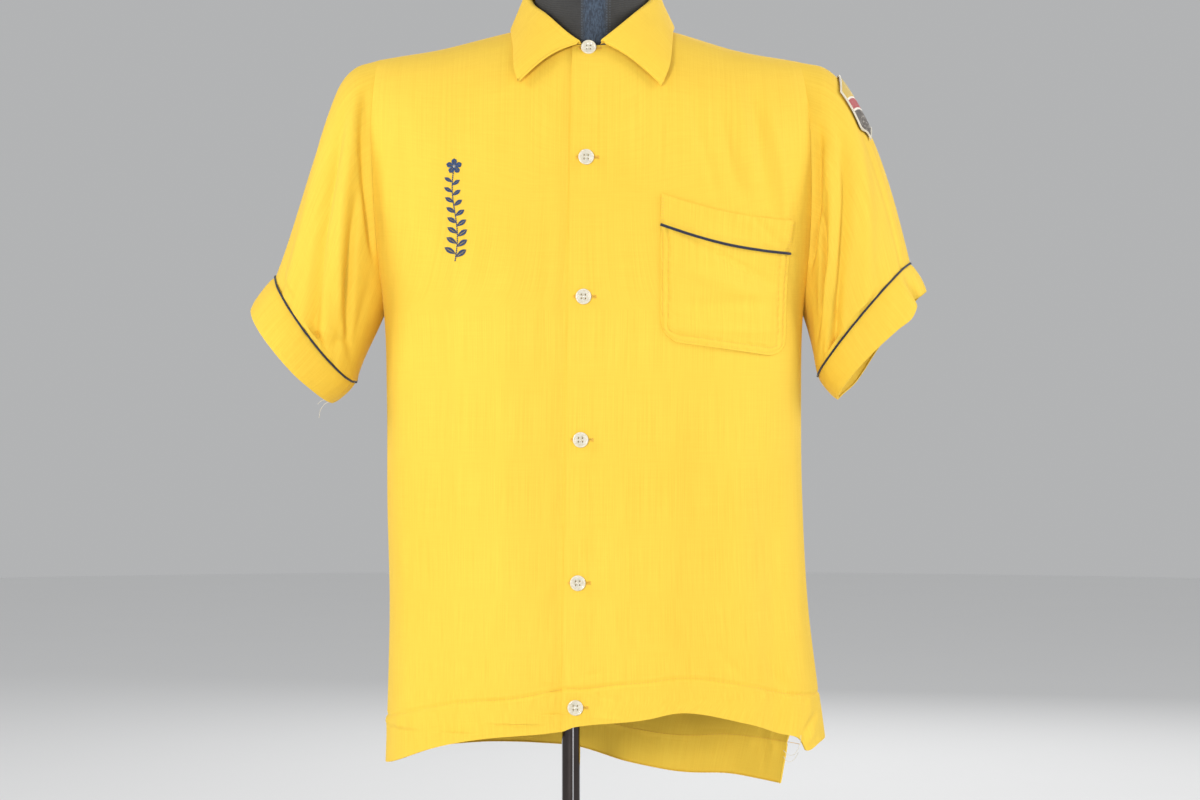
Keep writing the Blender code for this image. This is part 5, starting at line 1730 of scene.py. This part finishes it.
@dataclass
class Closure:
    """Six buttons in their buttonholes, sewn on with thread."""

    form: BodyForm
    finishes: Finishes
    sizes: ButtonSizes = ButtonSizes()
    slit: tuple[float, float] = (-8.5, 11.0)
    slit_stitches: int = 40
    bar_stitches: int = 4
    slit_parts: int = 8
    strands: tuple[float, ...] = (-0.33, -0.11, 0.11, 0.33)

    def __post_init__(self) -> None:
        """Make the buttons, their threads and the buttonholes."""
        self.trims: list[Object] = []
        holes, slits, threads = Needlework(), Needlework(), Needlework()
        for number, height in enumerate(BUTTON_HEIGHTS, start=1):
            self.trims.append(self.button(f"button_{number}", height))
            self.buttonhole(height, holes, slits)
            self.thread(height, threads)
        self.trims += [
            holes.finish("buttonhole_stitches", self.finishes.yellow_thread, "yellow_cloth"),
            slits.finish("buttonhole_slits", self.finishes.shadow_thread, "yellow_cloth"),
            threads.finish("button_threads", self.finishes.cream_thread, "cream_button"),
        ]

    def frame_at(self, height: float) -> Matrix:
        """A button's place: its middle, with Z out of the cloth and Y up."""
        x = button_line(height)
        low, high = (self.form.front_at(x, height + step, 0.0) for step in (-5, 5))
        up = ((high - low).normalized() + UP).normalized()
        outwards = up.cross(Vector((-1, 0, 0))).normalized()
        outwards = outwards if outwards.y < 0 else -outwards
        turn = Matrix((up.cross(outwards), up, outwards)).transposed().to_4x4()
        return Matrix.Translation(self.form.front_at(x, height, BUTTON_LIFT) * MM) @ turn

    def button(self, node: str, height: float) -> Object:
        """The button of a node: rings from the back round the rim to the dish, with four holes through.

        Args:
            node: name of the node.
            height: the button's height on the shirt.

        Returns:
            The button's piece.
        """
        sizes = self.sizes
        shape = bmesh.new()
        top, radius, dish = sizes.thickness, sizes.radius, sizes.thickness - sizes.dish_depth
        profile = (
            (radius * 0.8, 0.0),
            (radius * 0.9, 0.18),
            (radius * 0.985, top * 0.42),
            (radius, top * 0.62),
            (radius * 0.985, top * 0.8),
            (radius * 0.945, top * 0.93),
            (radius * 0.89, top),
            (radius * 0.83, top * 0.985),
            (radius * 0.775, top - sizes.dish_depth * 0.55),
            (sizes.dish_radius, dish),
        )
        places = [(Matrix.Translation(UP * z * MM), size) for size, z in profile]
        rings = [Workshop.ring(shape, sizes.sides, *place) for place in places]
        for first, second in zip(rings, rings[1:]):
            bmesh.ops.bridge_loops(shape, edges=first + second)
        reach = sizes.hole_spacing / 2
        spots = [(x, y) for x in (-reach, reach) for y in (-reach, reach)]
        ends = []
        for z, rim in ((dish, rings[-1]), (0.0, rings[0])):
            places = [Matrix.Translation(Vector((*spot, z)) * MM) for spot in spots]
            holes = [Workshop.ring(shape, sizes.hole_sides, place, sizes.hole_radius) for place in places]
            ends.append(holes)
            bmesh.ops.triangle_fill(shape, use_beauty=True, use_dissolve=False, edges=sum(holes, rim))
        for upper, lower in zip(*ends):
            bmesh.ops.bridge_loops(shape, edges=upper + lower)
        bmesh.ops.recalc_face_normals(shape, faces=shape.faces)
        bmesh.ops.transform(shape, matrix=self.frame_at(height), verts=shape.verts)
        return Workshop.piece(f"{node}_turned", shape, self.finishes.button, "cream_button", node)

    def buttonhole(self, height: float, holes: Needlework, slits: Needlework) -> None:
        """A horizontal buttonhole: a slit between two rows of satin stitches, with a bar at each end.

        Args:
            height: height of its button.
            holes: takes the satin stitches.
            slits: takes the slit, a dark strip of painted shade.
        """
        middle = button_line(height)

        def at(across: float, up: float, lift: float = 0.12) -> Vector:
            """A point beside the buttonhole's middle."""
            return self.form.front_at(middle + across, height + up, lift)

        for i in range(self.slit_stitches + 1):
            across = blend(*self.slit, i / self.slit_stitches)
            for way in (-1, 1):
                holes.stitch(at(across, way * 0.35), at(across, way * 1.5), 0.27, 0.8)
        for end in (self.slit[0] - 0.5, self.slit[1] + 0.5):
            for i in range(self.bar_stitches):
                across = end + (i - 1.5) * 0.42
                holes.stitch(at(across, -1.7), at(across, 1.7), 0.28)
        # The slit: a dark strip of painted shade in the cut.
        for i in range(self.slit_parts):
            ends = (at(blend(*self.slit, (i + j) / self.slit_parts), 0.0, 0.02) for j in (0, 1))
            slits.stitch(*ends, 0.3, 0.4)

    def thread(self, height: float, threads: Needlework) -> None:
        """Two bars of thread across a button's four holes, four strands each."""
        frame_at = self.frame_at(height)
        reach = self.sizes.hole_spacing / 2
        level = self.sizes.thickness - self.sizes.dish_depth
        for y in (-reach, reach):
            for strand in self.strands:
                middle = frame_at @ (Vector((0.0, y + strand, level + 0.32)) * MM) / MM
                for x in (-1.05, 1.05):
                    end = frame_at @ (Vector((reach * x, y + strand, level - 0.5)) * MM) / MM
                    threads.stitch(end, middle, 0.17)


@dataclass
class SleevePatch:
    """The sewn patch on the wearer's left sleeve, square above and pointed below."""

    sleeve: SleeveForm
    finishes: Finishes
    columns: int = 40
    rows: int = 60
    border_steps: int = 150
    side_steps: int = 40
    cut: Cut = Cut(0.062, 0.068, columns, rows)

    def __post_init__(self) -> None:
        """Sew the patch and its overlocked border on the sleeve's form."""
        twill = self.finishes.patch
        self.sheet = Sheet(
            "sleeve_patch", self.cut, self.place, twill, turned=True, stuff="twill", slot="patch_twill"
        )
        steps = self.side_steps
        half = [Vector((i / steps, 0)) for i in range(steps)] + [Vector((1, i / steps)) for i in range(steps)]
        self.outline = half + [Vector((1, 1)) - point for point in half]
        needle = Needlework()
        ring = [self.border(i / self.border_steps, 0.0) for i in range(self.border_steps)]
        Workshop.tube(needle.shape, ring, 1.0, 8, closed=True)
        for i in range(self.border_steps * 3):
            needle.stitch(*(self.border(i / (self.border_steps * 3), out) for out in (-1.3, 1.3)), 0.36)
        border = needle.finish("sleeve_patch_border", self.finishes.cream_thread, "patch_twill")
        self.sheet.trims.append(border)

    def at(self, across: float, down: float, lift: float = 0.0) -> Vector:
        """A point on the patch by share across and share down."""
        narrow = 1 - 0.55 * ease((down - 0.55) / 0.45)
        around = blend(*PATCH_ROUND, 0.5 + (across - 0.5) * narrow) - PATCH_LEAN * (down - 0.5)
        return self.sleeve.point(around, blend(*PATCH_ALONG, down), PATCH_LIFT + CLOTH + lift)

    def place(self, column: int, row: int) -> Vector:
        """A point of the patch's grid; rows run upwards."""
        return self.at(column / self.columns, 1 - row / self.rows)

    def border(self, share: float, out: float) -> Vector:
        """A point of the border, by share of the way round it and a length outwards from the edge."""
        place = share * len(self.outline)
        i = int(place)
        first, last = (self.outline[(i + j) % len(self.outline)] for j in (0, 1))
        off = blend(first, last, place - i) - Vector((0.5, 0.5))
        size = max(abs(off.x), abs(off.y)) * 2
        off *= 1 + out / 28 / max(size, 0.1)
        return self.at(0.5 + off.x, 0.5 + off.y, 0.75 - 0.35 * abs(out))


@dataclass
class Sprig:
    """A small leafy sprig embroidered in navy down the wearer's right chest."""

    form: BodyForm
    finishes: Finishes
    stem_top: float = 930.0
    stem_foot: float = 833.0
    middle_x: float = -110.0
    stem_steps: int = 46
    pairs: int = 8
    leaf_steps: int = 17
    petals: int = 5

    def __post_init__(self) -> None:
        """Embroider the sprig on the body's form."""
        self.navy, cream = Needlework(), Needlework()
        front_at = self.form.front_at
        foot, top, steps = self.stem_foot, self.stem_top - 10, self.stem_steps
        heights = [blend(foot, top, i / steps) for i in range(steps + 1)]
        stem = [front_at(*self.stem(z), 0.25) for z in heights]
        for start, end in zip(stem, stem[1:]):
            self.navy.stitch(start, end, 0.7)
        for i in range(self.pairs):
            up = i / (self.pairs - 1)
            x, z = self.stem(blend(self.stem_foot + 4, self.stem_top - 24, up))
            size = blend(1.0, 0.68, up)
            self.satin_leaf(x, z, 56.0, 12.6 * size, 2.9 * size)
            self.satin_leaf(x, z + 3.0, -58.0, 12.0 * size, 2.8 * size)
        bloom_x, bloom_z = self.stem(self.stem_top - 6)
        for i in range(self.petals):
            self.satin_leaf(bloom_x, bloom_z, i * 360 / self.petals, 7.4, 2.7)
        for i in range(self.petals + 1):
            angle, reach = i * tau / self.petals, 0.9 if i < self.petals else 0.0
            x, z = bloom_x + reach * sin(angle), bloom_z + reach * cos(angle)
            cream.stitch(front_at(x - 0.4, z, 0.5), front_at(x + 0.4, z, 0.5), 0.42)
        self.trims = [
            self.navy.finish("sprig_embroidery", self.finishes.navy_thread, "navy_piping"),
            cream.finish("sprig_bloom_centre", self.finishes.cream_thread, "cream_button"),
        ]

    def stem(self, z: float) -> tuple[float, float]:
        """X and height of the stem."""
        return self.middle_x + 2.4 * sin((z - self.stem_foot) / 15.0), z

    def satin_leaf(self, x: float, z: float, bearing: float, length: float, half_width: float) -> None:
        """Fill a leaf, from its stalk end at a bearing in degrees, with satin stitches beside its vein.

        Args:
            x: X of the stalk end.
            z: height of the stalk end.
            bearing: which way the leaf points.
            length: length of the leaf.
            half_width: half its width.
        """
        turn = radians(bearing)
        sine, cosine = sin(turn), cos(turn)
        for i in range(self.leaf_steps):
            share = (i + 0.5) / self.leaf_steps
            width = half_width * sin(pi * share**0.8)
            foot, tip = length * share, length * share + width * 0.7
            start = self.form.front_at(x + sine * foot, z + cosine * foot, 0.35)
            for way in (-width, width):
                end = (x + sine * tip + cosine * way, z + cosine * tip - sine * way)
                self.navy.stitch(start, self.form.front_at(*end, 0.15), 0.36)


@dataclass
class LooseThreads:
    """A few loose thread ends at the hem and a cuff, as lines of (X, height)."""

    form: BodyForm
    finishes: Finishes
    hem_height: float = 372.0
    steps: int = 24
    radius: float = 0.26
    HEM_LINES = (
        ((207, 360), (212, 355.5), (218, 356), (223, 364), (224.5, 374)),
        ((207, 354), (211, 349), (217, 350), (222, 357)),
    )
    CUFF_LINES = (
        ((-236, 698), (-245, 697), (-251, 690), (-252.5, 682)),
        ((-240, 699), (-248, 700), (-254, 696)),
    )

    def __post_init__(self) -> None:
        """Make the thread ends, at their places on the body's form."""
        shape = bmesh.new()
        for line in self.HEM_LINES + self.CUFF_LINES:
            curve = Curve({i: Vector((x, 0.0, z)) for i, (x, z) in enumerate(line)})
            at_hem = line in self.HEM_LINES
            depth = self.form.front_at(line[0][0], self.hem_height, -1.5).y if at_hem else 0.0
            points = [
                curve.at(i * (len(line) - 1) / self.steps) + Vector((0.0, depth + 0.25 * i, 0.0))
                for i in range(self.steps + 1)
            ]
            Workshop.tube(shape, points, self.radius, 6)
        thread = self.finishes.cream_thread
        self.trims = [Workshop.piece("loose_thread_ends", shape, thread, "yellow_cloth")]


# ---- the stand


@dataclass
class DressForm:
    """The limbless form under the shirt: a torso and its neck, in a knit cover."""

    body: BodyForm
    finishes: Finishes
    columns: int = 72
    side_rows: int = 80
    top_rows: int = 30
    neck_sides: int = 96
    # By height: how far the form leans to the side, its half width, and its depths in front and behind.
    SECTIONS = {
        440: (9, 158, 92, 88), 520: (11, 164, 96, 92), 650: (14, 148, 88, 78), 780: (17, 164, 100, 88),
        880: (20, 176, 106, 96), 960: (22, 180, 104, 98), 1040: (22, 180, 104, 98),
    }
    bottom: float = 440.0
    shoulder_half_width: float = 180.0
    clearance: float = 1.7
    neck_clearance: float = 3.0
    neck_reach: float = 60.0
    neck_at: Triple = (NECK_CENTRE_X, -4.5, 0.0)
    neck_stretch: tuple[float, ...] = (57.0, 57.5, 1.0, 1.0)
    NECK_PROFILE = (
        (1, 1000), (1, 1040), (1, 1080), (1, 1110), (1, 1125.5), (0.992, 1128.4),
        (0.97, 1130.8), (0.93, 1132), (0.6, 1132),
    )

    def __post_init__(self) -> None:
        """Make the form, which fills the shoulders of the shirt's form."""
        self.leans, self.widths, *depths = Curve.columns(self.SECTIONS)
        self.depths = dict(zip(Face, depths))
        shape = bmesh.new()
        rows = self.side_rows + self.top_rows
        for face in Face:
            made = bmesh.ops.create_grid(shape, x_segments=self.columns, y_segments=rows, size=0.5)
            for vertex in made["verts"]:
                column, row = round((vertex.co.x + 0.5) * self.columns), round((vertex.co.y + 0.5) * rows)
                vertex.co = self.point(face, column, row) * MM
        bmesh.ops.remove_doubles(shape, verts=shape.verts, dist=1e-6)
        bmesh.ops.contextual_create(shape, geom=[edge for edge in shape.edges if edge.is_boundary])
        bmesh.ops.recalc_face_normals(shape, faces=shape.faces)
        matrix = Matrix.Translation(Vector(self.neck_at) * MM) @ Matrix.Diagonal(self.neck_stretch)
        Workshop.lathe(shape, self.NECK_PROFILE, self.neck_sides, matrix)
        Workshop.piece("form_cover", shape, self.finishes.cover, "black_cover", "form_torso")

    def point(self, face: Face, column: int, row: int) -> Vector:
        """A point of the torso, from its lower edge to the ridge of its shoulders.

        Args:
            face: front or back.
            column: the column.
            row: the row.

        Returns:
            The point in millimetres.
        """
        across, out, size = oval(pi * (column / self.columns - 0.5))
        lean = pi / 2 * max(0, row - self.side_rows) / self.top_rows
        distance = abs(self.shoulder_half_width * across * size)
        near_neck = 1 - ease((distance - NECK_HALF_WIDTH) / self.neck_reach)
        ridge = self.body.ridge(L if across > 0 else R, F, max(distance, NECK_HALF_WIDTH))
        ridge -= self.clearance + self.neck_clearance * near_neck
        rounding = self.body.roundings[face].at(distance)
        z = ridge - rounding * (1 - sin(lean))
        if row <= self.side_rows:
            z = blend(self.bottom, ridge - rounding, row / self.side_rows)
        x = self.leans.at(z) + self.widths.at(z) * across * size
        y = self.depths[face].at(z) * out * size * cos(lean)
        return Vector((x, -y if face is F else y, z))


@dataclass
class Stand:
    """The chrome pole and the round base, turned round profiles of (radius, height)."""

    finishes: Finishes
    pole_sides: int = 64
    base_sides: int = 128
    sharp: float = radians(50)
    POLE_PROFILE = (
        (6, 46.3), (8.6, 46.3), (9.25, 47), (9.25, 120), (9.25, 250), (9.25, 380), (9.25, 439),
        (8.9, 439.6), (6, 439.7),
    )
    BASE_PROFILE = (
        (9.6, 46), (17, 46), (20, 45.7), (21.5, 44.8), (22, 43), (22, 24), (22.6, 20.5),
        (24.6, 17.6), (28, 16), (60, 14.9), (93, 13), (120, 10.8), (145, 8), (151, 6.9),
        (153.5, 5.5), (154.8, 4.2), (155, 2.4), (154.9, 0.8), (154, 0), (120, 0),
    )

    def __post_init__(self) -> None:
        """Turn both pieces."""
        for node, profile, sides, finish in (
            ("pole", self.POLE_PROFILE, self.pole_sides, self.finishes.chrome),
            ("base", self.BASE_PROFILE, self.base_sides, self.finishes.base),
        ):
            shape = bmesh.new()
            Workshop.lathe(shape, profile, sides, Matrix.Identity(4))
            obj = Workshop.piece(f"{node}_turned", shape, finish, "chrome", node)
            obj.data.set_sharp_from_angle(angle=self.sharp)


# ---- studio and main


@dataclass(frozen=True)
class Lamp:
    """A soft area light: place, height that it points at, size in metres and power in watts."""

    name: str
    place: Triple
    aim: float
    size: float
    power: float


@dataclass
class Studio:
    """A pale floor, soft lights and the camera."""

    finishes: Finishes
    LAMPS = (
        Lamp("key", (-0.95, -2.88, 0.95), 0.75, 0.5, 44.0),
        Lamp("fill", (1.5, -2.9, 0.85), 0.7, 1.4, 15.0),
        Lamp("side_right", (-3.0, -0.5, 2.3), 0.8, 1.4, 50.0),
        Lamp("side_left", (3.0, -0.4, 2.3), 0.8, 1.4, 60.0),
        Lamp("rim", (0.6, 3.0, 1.9), 0.8, 1.8, 34.0),
    )
    camera_place: Triple = (0.029, -2.6, 0.7)
    lens: float = 78.0
    sensor: float = 36.0
    world: Triple = (0.86, 0.87, 0.88)
    world_strength: float = 0.52
    floor_size: float = 16.0
    floor_sides: int = 96
    floor_height: float = -0.0005

    def __post_init__(self) -> None:
        """Set the stage."""
        scene = bpy.context.scene
        scene.view_settings.view_transform = "Standard"
        for lamp in self.LAMPS:
            self.light(lamp)
        self.floor(self.finishes.floor)
        scene.world = bpy.data.worlds.new("studio")
        scene.world.use_nodes = True
        backdrop = scene.world.node_tree.nodes["Background"]
        backdrop.inputs["Color"].default_value = (*self.world, 1.0)
        backdrop.inputs["Strength"].default_value = self.world_strength
        data = bpy.data.cameras.new("camera")
        data.lens, data.sensor_width, data.dof.use_dof = self.lens, self.sensor, False
        scene.camera = self.put("camera", data, self.camera_place)
        scene.camera.rotation_euler = (pi / 2, 0.0, 0.0)

    @staticmethod
    def put(name: str, data: bpy.types.ID, place: Triple) -> Object:
        """Put an object in the scene at a place."""
        obj = bpy.data.objects.new(name, data)
        obj.location = place
        bpy.context.scene.collection.objects.link(obj)
        return obj

    def light(self, lamp: Lamp) -> None:
        """Add one light."""
        data = bpy.data.lights.new(lamp.name, "AREA")
        data.energy, data.size = lamp.power, lamp.size
        way = UP * lamp.aim - Vector(lamp.place)
        self.put(lamp.name, data, lamp.place).rotation_euler = way.to_track_quat("-Z", "Y").to_euler()

    def floor(self, finish: Material) -> None:
        """Add the floor that the base stands on."""
        shape = bmesh.new()
        bmesh.ops.create_circle(shape, cap_ends=True, segments=self.floor_sides, radius=self.floor_size / 2)
        mesh = bpy.data.meshes.new("floor")
        shape.to_mesh(mesh)
        shape.free()
        mesh.materials.append(finish)
        self.put("floor", mesh, (0.0, 0.0, self.floor_height))


def main() -> None:
    """Build every piece, in order."""
    logging.basicConfig(level=logging.INFO, format="%(name)s: %(message)s")
    finishes, form = Finishes(), BodyForm()
    body = ShirtBody(form, finishes)
    body.sew_hems()
    sleeve_forms = {side: SleeveForm(form, side) for side in Side}
    sleeves = [ShirtSleeve(sleeve_forms[side], finishes) for side in Side]
    collar = Collar(finishes)
    pocket = Pocket(form, finishes)
    patch = SleevePatch(sleeve_forms[L], finishes)
    body.panels["front_left"].trims += Closure(form, finishes).trims + LooseThreads(form, finishes).trims
    body.panels["front_right"].trims += Sprig(form, finishes).trims
    sheets = [*body.panels.values(), collar.sheet, pocket.pocket, pocket.band, patch.sheet]
    sheets += [sheet for sleeve in sleeves for sheet in (sleeve.sleeve, sleeve.cuff)]
    for sheet in sheets:
        sheet.declare()
    DressForm(form, finishes)
    Stand(finishes)
    Studio(finishes)


if __name__ == "__main__":
    main()
